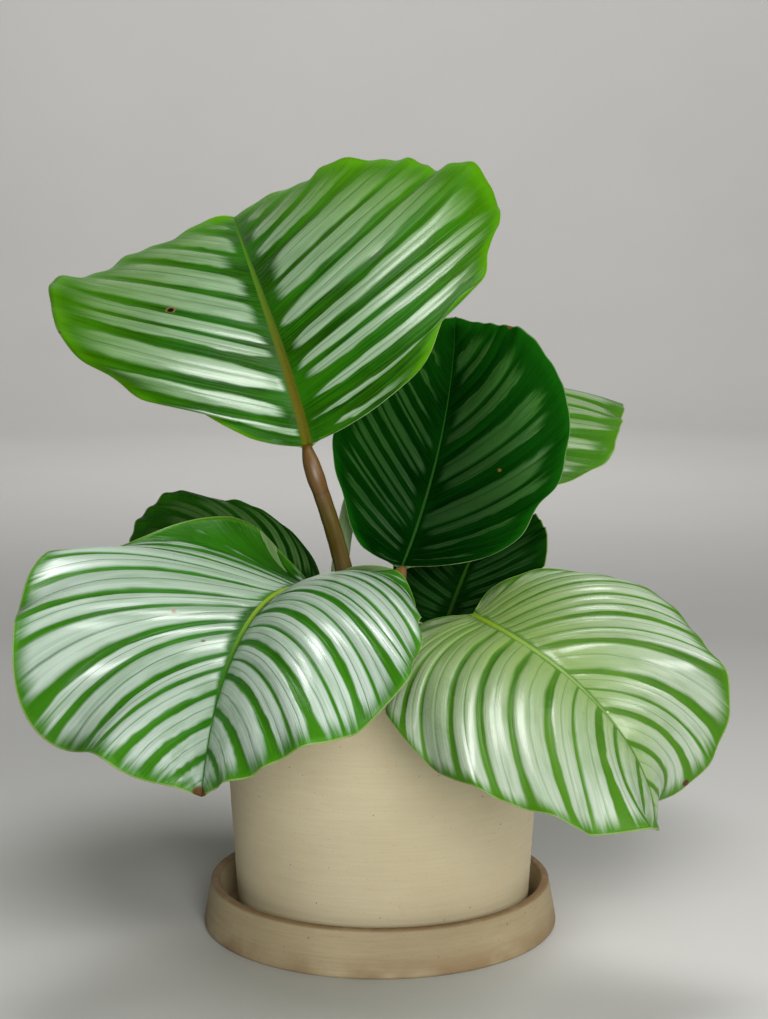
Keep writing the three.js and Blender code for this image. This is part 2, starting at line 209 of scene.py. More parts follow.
def turned_surface(name: str, profile: np.ndarray, segments: int, closed: bool,
                   offset: float = 0.0) -> bpy.types.Object:
    """A profile of (radius, height) turned round the upright axis: (r cos a, r sin a, h).

    Args:
        name: The object's name.
        profile: Rows of radius and height. An open one starts and ends on the axis, at radius 0.
        segments: How many steps one turn has.
        closed: Whether the profile's last point joins its first.
        offset: How far right of the middle the axis stands, in millimetres.

    Returns:
        The new object.
    """
    angle = np.linspace(0, 2 * math.pi, segments, endpoint=False)
    rim = profile if closed else profile[1:-1]
    radius, height = rim[:, :1], rim[:, 1:]
    points = np.stack([radius * np.cos(angle), radius * np.sin(angle), height + 0 * angle], -1)
    rings = len(rim)
    if closed:
        faces = ring_faces(rings + 1, segments)
        faces[0] %= rings * segments
        return make_object(name, points.reshape(-1, 3), faces, offset=offset)
    poles = np.array([[0, 0, profile[0, 1]], [0, 0, profile[-1, 1]]])
    points = np.concatenate([points.reshape(-1, 3), poles])
    faces = ring_faces(rings, segments) + cap_faces(rings, segments)
    return make_object(name, points, faces, offset=offset)


def rounded(centre: tuple[float, float], radius: float, start: float, end: float,
            steps: int = 8) -> np.ndarray:
    """Part of a circle in a profile: centre + radius (cos a, sin a), a from start to end.

    Args:
        centre: Radius and height of the circle's middle.
        radius: The circle's radius.
        start: First angle, in degrees.
        end: Last angle, in degrees.
        steps: How many steps it takes.

    Returns:
        Rows of radius and height.
    """
    angle = np.radians(np.linspace(start, end, steps + 1))
    return np.stack([centre[0] + radius * np.cos(angle), centre[1] + radius * np.sin(angle)], -1)


def straight(start: ProfilePoint, end: ProfilePoint, steps: int) -> np.ndarray:
    """Points on a straight line in a profile, without its two ends.

    Args:
        start: Radius and height of the first end.
        end: Radius and height of the other end.
        steps: How many parts the line has.

    Returns:
        Rows of radius and height.
    """
    share = np.linspace(0, 1, steps + 1)[1:-1, None]
    return (1 - share) * np.array(start) + share * np.array(end)


# Shaders


class Wire:
    """A number, colour or place that a node puts out. Sums on it add nodes to the same tree."""

    def __init__(self, tree: "Tree", socket: bpy.types.NodeSocket) -> None:
        """Takes the output and the tree that it is in."""
        self.tree = tree
        self.socket = socket

    def __add__(self, other: "Wire | float") -> "Wire":
        """This number and another one added up."""
        return self.tree.math("ADD", self, other)

    def __sub__(self, other: "Wire | float") -> "Wire":
        """This number less another one."""
        return self.tree.math("SUBTRACT", self, other)

    def __rsub__(self, other: float) -> "Wire":
        """A plain number less this one."""
        return self.tree.math("SUBTRACT", other, self)

    def __mul__(self, other: "Wire | float") -> "Wire":
        """This number times another one."""
        return self.tree.math("MULTIPLY", self, other)


Number = Wire | float
Paint = Wire | Colour


class Tree:
    """Adds nodes to one node tree and joins them."""

    def __init__(self, tree: bpy.types.NodeTree) -> None:
        """Takes the tree that the nodes go into."""
        self.tree = tree

    def join(self, node: bpy.types.Node, inputs: dict[str | int, object]) -> None:
        """Sets some of a node's inputs.

        Args:
            node: The node.
            inputs: A value or a wire for each input, by name or number.
        """
        for key, value in inputs.items():
            if isinstance(value, Wire):
                self.tree.links.new(value.socket, node.inputs[key])
            else:
                node.inputs[key].default_value = value

    def node(self, kind: str, inputs: dict[str | int, object] | None = None,
             **settings: object) -> bpy.types.Node:
        """Adds a node.

        Args:
            kind: The node's type.
            inputs: A value or a wire for each input, by name or number.
            **settings: The node's own settings.

        Returns:
            The new node.
        """
        node = self.tree.nodes.new(kind)
        for key, value in settings.items():
            setattr(node, key, value)
        self.join(node, inputs or {})
        return node

    def wires(self, node: bpy.types.Node) -> dict[str, Wire]:
        """A node's outputs by name."""
        return {output.name: Wire(self, output) for output in node.outputs}

    def wire(self, kind: str, inputs: dict[str | int, object], output: str | int = 0,
             **settings: object) -> Wire:
        """Adds a node and takes one of its outputs.

        Args:
            kind: The node's type.
            inputs: A value or a wire for each input, by name or number.
            output: The output's name or number.
            **settings: The node's own settings.

        Returns:
            The output.
        """
        return Wire(self, self.node(kind, inputs, **settings).outputs[output])

    def math(self, operation: str, first: Number, second: Number = 0.0) -> Wire:
        """The result of a sum on one or two numbers.

        Args:
            operation: Blender's name for the sum.
            first: First number.
            second: Second number, where the sum takes two.

        Returns:
            The result.
        """
        return self.wire("ShaderNodeMath", {0: first, 1: second}, operation=operation)

    def ease(self, value: Number, low: Number, high: Number, start: Number = 0.0,
             end: Number = 1.0) -> Wire:
        """Moves smoothly from start, where value is low, to end, where it is high.

        Args:
            value: The number that is eased.
            low: Where the move starts. It may be the greater of the two.
            high: Where the move ends.
            start: Result at low.
            end: Result at high.

        Returns:
            The eased number.
        """
        inputs = {0: value, 1: low, 2: high, 3: start, 4: end}
        return self.wire("ShaderNodeMapRange", inputs, interpolation_type="SMOOTHSTEP")

    def mix(self, share: Number, first: Paint, second: Paint) -> Wire:
        """A mix of two colours.

        Args:
            share: How much of the second colour shows.
            first: First colour.
            second: Second colour.

        Returns:
            The mixed colour.
        """
        colours = [paint if isinstance(paint, Wire) else (*paint, 1.0) for paint in (first, second)]
        inputs = {0: share, 6: colours[0], 7: colours[1]}
        return self.wire("ShaderNodeMix", inputs, 2, data_type="RGBA")

    def noise(self, place: Wire, scale: Number, detail: float = 3.0, roughness: float = 0.5) -> Wire:
        """Cloudy random values of about 0 to 1.

        Args:
            place: Where the pattern is read.
            scale: How fine it is.
            detail: How many finer patterns are added.
            roughness: How strong the finer ones are.

        Returns:
            The value.
        """
        inputs = {"Vector": place, "Scale": scale, "Detail": detail, "Roughness": roughness}
        return self.wire("ShaderNodeTexNoise", inputs, "Fac")

    def bump(self, height: Wire, strength: float, depth: float) -> Wire:
        """Fine relief, as a normal.

        Args:
            height: Height of the relief, where 1 is its full depth.
            strength: How much of it shows.
            depth: Its full depth in millimetres.

        Returns:
            The normal.
        """
        inputs = {"Strength": strength, "Distance": depth * MM, "Height": height}
        return self.wire("ShaderNodeBump", inputs, "Normal")

    def object_place(self) -> Wire:
        """The point in the piece's own coordinates, in metres."""
        return self.wire("ShaderNodeTexCoord", {}, "Object")

    def split(self, vector: Wire) -> list[Wire]:
        """The three numbers of a vector."""
        return list(self.wires(self.node("ShaderNodeSeparateXYZ", {0: vector})).values())

    def mark(self, name: str) -> list[Wire]:
        """The three numbers of a mark that the mesh carries."""
        return self.split(self.wire("ShaderNodeAttribute", {}, "Vector", attribute_name=name))

    def triple(self, x: Number, y: Number, z: Number) -> Wire:
        """Three numbers as one vector."""
        return self.wire("ShaderNodeCombineXYZ", {0: x, 1: y, 2: z})


class Pattern:
    """A shader node group: one effect that several materials use, each with its own values."""

    def __init__(self, name: str, inputs: dict[str, float | str], outputs: list[str]) -> None:
        """Makes the group and its sockets.

        Args:
            name: The group's name.
            inputs: Each input's name, with its usual value, or "vector" for a place.
            outputs: The names of the outputs, each one a number.
        """
        self.group = bpy.data.node_groups.new(name, "ShaderNodeTree")
        for label, value in inputs.items():
            kind = "NodeSocketVector" if value == "vector" else "NodeSocketFloat"
            socket = self.group.interface.new_socket(label, in_out="INPUT", socket_type=kind)
            if value != "vector":
                socket.default_value = value
        for label in outputs:
            self.group.interface.new_socket(label, in_out="OUTPUT", socket_type="NodeSocketFloat")
        self.tree = Tree(self.group)
        self.given = self.tree.wires(self.tree.node("NodeGroupInput"))
        self.result = self.tree.node("NodeGroupOutput")

    def put_out(self, values: dict[str, Wire]) -> None:
        """Joins wires to the group's outputs, by their names."""
        self.tree.join(self.result, values)

    def place_in(self, tree: Tree, inputs: dict[str, object]) -> dict[str, Wire]:
        """Puts the group into a material.

        Args:
            tree: The material's nodes.
            inputs: A value or a wire for each input of the group.

        Returns:
            The outputs of the placed group, by name.
        """
        return tree.wires(tree.node("ShaderNodeGroup", inputs, node_tree=self.group))


def stripe_pattern() -> Pattern:
    """The blade's markings, from the places that its mesh carries.

    A band number is whole on a green stripe, and the silver lies between two of them. Each green
    stripe has its own width, which also wanders along it. The silver starts some way from the midrib
    and ends before the margin, in fine tongues along the veins. A thin dark vein runs down each silver
    band.

    Returns:
        The group. Its outputs are all from 0 to 1.
    """
    inputs = {"Band": 0.0, "Across": 0.0, "From Rib": 0.0, "From Margin": 0.0, "Width": 0.2,
              "Start": 5.0, "End": 6.0, "Seed": 0.0, "Vein At": 0.5, "Vein Width": 0.03,
              "Feather": 8.0, "Border": 8.0, "Fade": 12.0}
    group = Pattern("leaf_stripes", inputs, ["Silver", "Vein", "Border", "Rim", "Streaks", "Pucker"])
    tree, given = group.tree, group.given
    band, across, from_margin = given["Band"], given["Across"], given["From Margin"]

    def along(per_band: float, per_vein: float, shift: float) -> Wire:
        """A place that is stretched along the veins."""
        return tree.triple(band * per_band, across * per_vein, given["Seed"] + shift)

    fine = tree.noise(along(11.0, 1.3, 0.0), 1.5, 3.0, 0.6)
    tongue = tree.noise(along(5.0, 1.0, 3.1), 1.3, 2.5, 0.6)
    wander = tree.noise(along(1.1, 4.0, 7.7), 1.6, 1.5)
    patch = tree.noise(along(1.7, 2.4, 5.3), 1.2, 2.5, 0.6)
    pucker = tree.noise(along(3.0, 26.0, 1.9), 1.4, 2.0)

    # Silver between two green stripes, from near the midrib to near the margin
    away = tree.math("ABSOLUTE", band - tree.math("ROUND", band))
    width = given["Width"] * (wander + 0.5)
    side = tree.ease(away - width + (fine - 0.5) * 0.1, -0.045, 0.065)
    start = given["Start"] * (tongue + 0.4)
    grow = tree.ease(given["From Rib"], start, start * 2.0 + 1.0)
    end = given["End"] + (tongue - 0.5) * (given["Feather"] * 2.2)
    fade = tree.ease(from_margin, end, end + given["Fade"])
    silver = side * (grow * fade) * tree.ease(patch, 0.3, 0.55, 0.72, 1.0)

    # The dark vein in the silver
    within = tree.math("FRACT", band) - given["Vein At"]
    off_vein = tree.math("ABSOLUTE", within + (wander - 0.5) * 0.08)
    vein = tree.ease(off_vein, given["Vein Width"], 0.0) * tree.ease(tongue, 0.3, 0.5, 0.35, 1.0)

    border = tree.ease(from_margin + (tongue - 0.5) * given["Feather"], given["Border"], 1.0)
    group.put_out({"Silver": silver, "Vein": vein, "Border": border,
                   "Rim": tree.ease(from_margin, 0.8, 0.3),
                   "Streaks": tree.ease(fine, 0.32, 0.68), "Pucker": pucker})
    return group


def speckle_pattern() -> Pattern:
    """Small round flecks scattered through a body: near enough to the middle of a random cell.

    Returns:
        The group. Flecks is 1 inside a fleck and 0 outside.
    """
    inputs = {"Place": "vector", "Scale": 300.0, "Size": 0.2, "Share": 0.2}
    group = Pattern("flecks", inputs, ["Flecks"])
    tree, given = group.tree, group.given
    cell_inputs = {"Vector": given["Place"], "Scale": given["Scale"]}
    cells = tree.wires(tree.node("ShaderNodeTexVoronoi", cell_inputs))
    chances = tree.wires(tree.node("ShaderNodeSeparateColor", {0: cells["Color"]}))
    size = given["Size"] * (chances["Green"] + 0.35)
    near = tree.ease(cells["Distance"], size, size * 0.5)
    group.put_out({"Flecks": near * tree.math("LESS_THAN", chances["Red"], given["Share"])})
    return group


def cloud_pattern() -> Pattern:
    """Slow change of tone over a surface: wide cloudy noise with its contrast raised.

    Returns:
        The group. Tone is from 0 to 1.
    """
    group = Pattern("clouds", {"Place": "vector", "Scale": 20.0, "Contrast": 0.2}, ["Tone"])
    tree, given = group.tree, group.given
    clouds = tree.noise(given["Place"], given["Scale"], 4.0)
    contrast = given["Contrast"]
    group.put_out({"Tone": tree.ease(clouds, contrast + 0.1, 0.9 - contrast)})
    return group


@dataclass(frozen=True)
class Patterns:
    """The node groups that the finishes share."""

    stripes: Pattern
    flecks: Pattern
    clouds: Pattern

    def tone(self, tree: Tree, place: Wire, scale: float, contrast: float) -> Wire:
        """Places the clouds: a tone from 0 to 1, with clouds of about 1 / scale metres."""
        inputs = {"Place": place, "Scale": scale, "Contrast": contrast}
        return self.clouds.place_in(tree, inputs)["Tone"]

    def specks(self, tree: Tree, place: Wire, scale: float, size: float, share: float) -> Wire:
        """Places the flecks: cells of about 1 / scale metres, of which a share has a fleck."""
        inputs = {"Place": place, "Scale": scale, "Size": size, "Share": share}
        return self.flecks.place_in(tree, inputs)["Flecks"]


class Finish:
    """How a surface looks, as one Principled shader. Each kind of surface works out its own look."""

    def look(self, tree: Tree, patterns: Patterns) -> dict[str, object]:
        """Adds the nodes that the surface needs.

        Args:
            tree: The material's nodes.
            patterns: The shared node groups.

        Returns:
            A value or a wire for each input of the shader that the surface sets.
        """
        raise NotImplementedError

    def material(self, name: str, patterns: Patterns) -> bpy.types.Material:
        """Builds the material.

        Args:
            name: The material's name.
            patterns: The shared node groups.

        Returns:
            The material.
        """
        material = bpy.data.materials.new(name)
        material.use_nodes = True
        tree = Tree(material.node_tree)
        tree.join(material.node_tree.nodes["Principled BSDF"], self.look(tree, patterns))
        return material


@dataclass(frozen=True)
class Blemish:
    """A small round mark on a blade, with its place and radius in millimetres: a brown or pale mark, or a
    near-black disc of painted shade where the blade has a hole.
    """

    place: tuple[float, float, float]
    radius: float
    colour: Colour


@dataclass(frozen=True)
class BladeFinish(Finish):
    """A leaf's own colours and markings. Lengths are in millimetres.

    The silver and the midrib change from their near colour to their far colour on the way out to the
    margin and the tip, and the green gives way to the border's. The silver's change is partly the
    leaf's own and partly painted sheen and painted shade, and the green's is partly its own margin and
    partly painted light shining through the blade. The silver starts and ends at its distances from the
    midrib and the margin. The gains widen the green stripes near the midrib and the margin. The
    midrib's own colour and ridge fade out at rib_reach, a share of the leaf's length.
    """

    silver: Colour = linear(176, 202, 166)
    silver_far: Colour = linear(150, 184, 132)
    green: Colour = linear(50, 114, 20)
    deep: Colour = linear(22, 78, 10)
    border: Colour = linear(62, 128, 18)
    rib: Colour = linear(118, 142, 40)
    rib_far: Colour = linear(60, 116, 30)
    rim: Colour = linear(142, 162, 92)
    under: Colour = linear(132, 162, 104)
    vein_at: float = 0.5
    vein_width: float = 0.045
    vein_strength: float = 0.6
    feather: float = 8.0
    start: float = 3.0
    end: float = 6.0
    rib_gain: float = 0.0
    margin_gain: float = 0.6
    border_width: float = 9.0
    fade: float = 12.0
    rib_width: float = 1.6
    rib_reach: float = 1.05
    streak_strength: float = 0.4
    dulling: float = 0.6
    roughness: float = 0.3
    coat_roughness: float = 0.24
    gloss: float = 0.12
    sheen: float = 0.7
    cell_scale: float = 1300.0
    relief: float = 0.16
    seed: float = 0.0
    blemishes: tuple[Blemish, ...] = ()

    def rib_ends(self) -> tuple[float, float]:
        """The shares of the length where the midrib is gone and where it starts to fade."""
        return self.rib_reach + 0.1, self.rib_reach - 0.3

    def upper_face(self, tree: Tree, stripes: dict[str, Wire], tone: Wire, outwards: Wire) -> Wire:
        """The green and silver of the upper face.

        Args:
            tree: The material's nodes.
            stripes: The outputs of the stripe pattern.
            tone: The clouds.
            outwards: Rises from 0 at the leaf's base to about 1 at the tip's margin.

        Returns:
            The colour.
        """
        green = tree.mix(tone, self.deep, self.green)
        # Lighter outwards: partly the margin's own green and partly painted light shining through the
        # blade.
        green = tree.mix(tree.ease(outwards, 0.3, 1.0, 0.0, 0.55), green, self.border)
        green = tree.mix(stripes["Streaks"] * 0.3, green, self.border)
        green = tree.mix(stripes["Border"] * 0.85, green, self.border)
        # Near and far silver: partly the leaf's own fade and partly painted sheen and painted shade.
        silver = tree.mix(tree.ease(outwards, 0.15, 0.95), self.silver, self.silver_far)
        pairs = zip(self.silver_far, self.green)
        dulled = tuple((1 - self.dulling) * far + self.dulling * leafy for far, leafy in pairs)
        silver = tree.mix(stripes["Streaks"] * self.streak_strength, silver, dulled)
        silver = tree.mix(stripes["Vein"] * self.vein_strength, silver, self.deep)
        return tree.mix(stripes["Silver"], green, silver)

    def look(self, tree: Tree, patterns: Patterns) -> dict[str, object]:
        """The two faces, with midrib, rim, brown marks and the painted shade of a hole, and the fine
        grain of the skin.

        The midrib is a band that narrows towards the tip. The relief is the cells of the skin and the
        puckers across the veins, less the fine streaks and the dark vein.

        Args:
            tree: The material's nodes.
            patterns: The shared node groups.

        Returns:
            A value or a wire for each input of the shader.
        """
        band, across, share = tree.mark("vein_place")
        from_rib, from_margin, under = tree.mark("edge_place")
        width, start, end = tree.mark("stripe_place")
        place = tree.object_place()
        stripes = patterns.stripes.place_in(tree, {
            "Band": band, "Across": across, "From Rib": from_rib, "From Margin": from_margin,
            "Width": width, "Start": start, "End": end, "Seed": self.seed, "Vein At": self.vein_at,
            "Vein Width": self.vein_width, "Feather": self.feather, "Border": self.border_width,
            "Fade": self.fade})
        tone = patterns.tone(tree, place, 28.0, 0.22)
        rib_edge = tree.ease(share, 0.0, 0.9, self.rib_width, self.rib_width * 0.3)
        rib = tree.ease(from_rib, rib_edge, rib_edge * 0.6) * tree.ease(share, *self.rib_ends())
        rib_colour = tree.mix(tree.ease(share, 0.1, 0.7), self.rib, self.rib_far)
        top = self.upper_face(tree, stripes, tone, share * 0.5 + across * 0.6)
        top = tree.mix(rib, top, rib_colour)
        top = tree.mix(stripes["Rim"] * 0.75, top, self.rim)
        pale = tree.mix(stripes["Silver"] * 0.3, self.under, self.silver)
        pale = tree.mix(rib, pale, rib_colour)
        colour = tree.mix(under, top, pale)
        for mark in self.blemishes:
            ends = {0: place, 1: tuple(number * MM for number in mark.place)}
            distance = tree.wire("ShaderNodeVectorMath", ends, "Value", operation="DISTANCE")
            near = tree.ease(distance, mark.radius * MM, mark.radius * 0.55 * MM)
            colour = tree.mix(near, colour, mark.colour)
        cell_inputs = {"Vector": place, "Scale": self.cell_scale}
        cells = tree.wire("ShaderNodeTexVoronoi", cell_inputs, "Distance")
        height = cells * 0.22 + stripes["Streaks"] * -0.7 + stripes["Pucker"] * 0.9
        height = height - stripes["Vein"] * 0.9
        worn = tree.ease(tone, 0.0, 1.0, self.roughness - 0.04, self.roughness + 0.06)
        return {"Base Color": colour,
                "Roughness": worn + tree.math("MAXIMUM", under, rib) * 0.3,
                "Coat Weight": stripes["Silver"] * (1.0 - under) * self.sheen,
                "Coat Roughness": self.coat_roughness,
                "Specular IOR Level": self.gloss,
                "Normal": tree.bump(height, 0.7, self.relief)}


class StemTint(Enum):
    """The colours of the stems, from the foot to the joint under the leaf."""

    OLIVE = (linear(84, 66, 16), linear(98, 66, 24))
    # The pale stem's colours are partly its own pale green and partly painted light, raised so that it
    # looks lit where it stands in shade.
    PALE = (linear(176, 212, 152), linear(150, 186, 118))
    REDDISH = (linear(96, 90, 42), linear(124, 92, 50))
    GREEN = (linear(96, 120, 48), linear(120, 142, 60))


@dataclass(frozen=True)
class StemFinish(Finish):
    """The skin of a stem: fine lines along it, and the smoother joint under the leaf."""

    tint: StemTint
    shade: Colour = (0.02, 0.02, 0.006)
    fibre: Colour = linear(160, 150, 80)

    def look(self, tree: Tree, patterns: Patterns) -> dict[str, object]:
        """Cloudy green and brown, with fine lines and a dark ring where the joint starts.

        Args:
            tree: The material's nodes.
            patterns: The shared node groups.

        Returns:
            A value or a wire for each input of the shader.
        """
        foot, joint = self.tint.value
        grown, around, left = tree.mark("stem_place")
        lines = tree.noise(tree.triple(around * 9.0, grown * 3.0, 0.0), 1.5)
        tone = patterns.tone(tree, tree.object_place(), 60.0, 0.15)
        colour = tree.mix(tree.ease(left, 34.0, 18.0), foot, joint)
        dark = tree.mix(0.55, colour, self.shade)
        colour = tree.mix(tone * 0.35, colour, dark)
        colour = tree.mix(tree.ease(lines, 0.45, 0.8, 0.0, 0.2), colour, self.fibre)
        ring = tree.ease(left, 23.5, 22.5) * tree.ease(left, 21.0, 22.0)
        return {"Base Color": tree.mix(ring * 0.6, colour, dark),
                "Roughness": tree.ease(tone, 0.0, 1.0, 0.38, 0.52),
                "Normal": tree.bump(lines, 0.6, 0.3)}


@dataclass(frozen=True)
class StonewareFinish(Finish):
    """Unglazed stoneware: a warm clay body with fine turning lines, flecks and pin holes.

    It is stained at its rim, and darker in cloudy patches towards its foot, over the heights given in
    millimetres.
    """

    clay: Colour
    shade: Colour
    stain: Colour
    rim_heights: tuple[float, float]
    foot_heights: tuple[float, float]
    line_strength: float = 0.5
    speck: Colour = linear(82, 62, 44)
    gloss: float = 0.35

    def look(self, tree: Tree, patterns: Patterns) -> dict[str, object]:
        """Clay with cloudy shade, turning lines, flecks of two sizes, the rim stain and darker patches
        towards the foot.

        Args:
            tree: The material's nodes.
            patterns: The shared node groups.

        Returns:
            A value or a wire for each input of the shader.
        """
        place = tree.object_place()
        x, y, z = tree.split(place)
        lines = tree.noise(tree.triple(x * 0.05, y * 0.05, z), 900.0, 5.0, 0.65)
        dark = patterns.specks(tree, place, 330.0, 0.13, 0.13)
        fine = patterns.specks(tree, place, 820.0, 0.3, 0.28)
        colour = tree.mix(patterns.tone(tree, place, 14.0, 0.2) * 0.55, self.clay, self.shade)
        colour = tree.mix(tree.ease(lines, 0.35, 0.65, 0.0, 0.3), colour, self.shade)
        colour = tree.mix(fine * 0.28, colour, self.stain)
        colour = tree.mix(dark * 0.75, colour, self.speck)
        low, high = (height * MM for height in self.rim_heights)
        worn = tree.ease(tree.noise(place, 160.0), 0.3, 0.55, 0.7, 1.0)
        colour = tree.mix(tree.ease(z, low, high) * 0.7 * worn, colour, self.stain)
        # Darker, in the stain's colour, in cloudy patches towards the foot.
        low, high = (height * MM for height in self.foot_heights)
        foot_patches = tree.ease(tree.noise(place, 34.0), 0.35, 0.62)
        colour = tree.mix(tree.ease(z, high, low) * 0.55 * foot_patches, colour, self.stain)
        grain = tree.noise(place, 1400.0, 2.0)
        height = lines * self.line_strength + grain * 0.4 - dark * 0.8
        return {"Base Color": colour,
                "Roughness": tree.ease(grain, 0.3, 0.7, 0.62, 0.8),
                "Specular IOR Level": self.gloss,
                "Normal": tree.bump(height, 0.55, 0.25)}


@dataclass(frozen=True)
class SoilFinish(Finish):
    """Moist potting soil: dark crumbs, with a few pale grains among them."""

    dark: Colour = linear(48, 34, 25)
    light: Colour = linear(92, 68, 48)
    grain: Colour = linear(205, 198, 184)

    def look(self, tree: Tree, patterns: Patterns) -> dict[str, object]:
        """Dark and light crumb, with the tint and the pale grains that the mesh marks.

        Args:
            tree: The material's nodes.
            patterns: The shared node groups.

        Returns:
            A value or a wire for each input of the shader.
        """
        tint, pale, _ = tree.mark("crumb")
        fine = tree.noise(tree.object_place(), 900.0, 4.0, 0.65)
        colour = tree.mix(tree.ease(fine, 0.3, 0.75), self.dark, self.light)
        colour = tree.mix(tint * 0.4, colour, self.light)
        return {"Base Color": tree.mix(pale, colour, self.grain),
                "Roughness": tree.ease(fine, 0.3, 0.8, 0.75, 0.98),
                "Normal": tree.bump(fine, 0.8, 0.6)}


@dataclass(frozen=True)
class FloorFinish(Finish):
    """A plain pale matt floor, very slightly cloudy."""

    dark: Colour = linear(200, 199, 195)
    light: Colour = linear(208, 207, 203)
    roughness: float = 0.65

    def look(self, tree: Tree, patterns: Patterns) -> dict[str, object]:
        """One tone with faint wide clouds."""
        clouds = tree.noise(tree.object_place(), 3.0)
        return {"Base Color": tree.mix(clouds, self.dark, self.light), "Roughness": self.roughness}


# Leaves


# Green stripes of a half that the picture doesn't show: place among the veins, and half of the width
EVEN_STRIPES = tuple((0.04 + 0.076 * k, 0.013 + 0.004 * math.sin(5.0 * k)) for k in range(13))


@dataclass(frozen=True)
class Half:
    """One half of a blade. Angles are in degrees and lengths in millimetres.

    Each green stripe has its place, as a vein's number from 0 at the base to 1 at the tip, and half of
    its width in the same unit.
    """

    width: float
    fold: float = 10.0
    arch: float = 20.0
    lobe: float = 0.3
    skew: float = 0.0
    waves: float = 2.5
    lift: float = 3.0
    phase: float = 0.0
    ripples: float = 5.0
    ripple: float = 1.5
    ripple_phase: float = 0.0
    margin: tuple[float, ...] = ()
    stripes: tuple[tuple[float, float], ...] = EVEN_STRIPES


@dataclass(frozen=True)
class LeafSizes:
    """Where a leaf stands and how it bends, in the same values as its plain solid.

    Places are measured from the pot's middle. The height of the small folds near the tip is the
    scene's own.
    """

    name: str
    base: tuple[float, float, float]
    heading: float
    sweep: float
    pitch: float
    droop: float
    droop_power: float
    roll: float
    twist: float
    length: float
    vein_spread: float
    left: Half
    right: Half
    foot: tuple[float, float]
    rise: float
    run: float
    tint: StemTint
    finish: BladeFinish
    tip_folds: float = 0.0


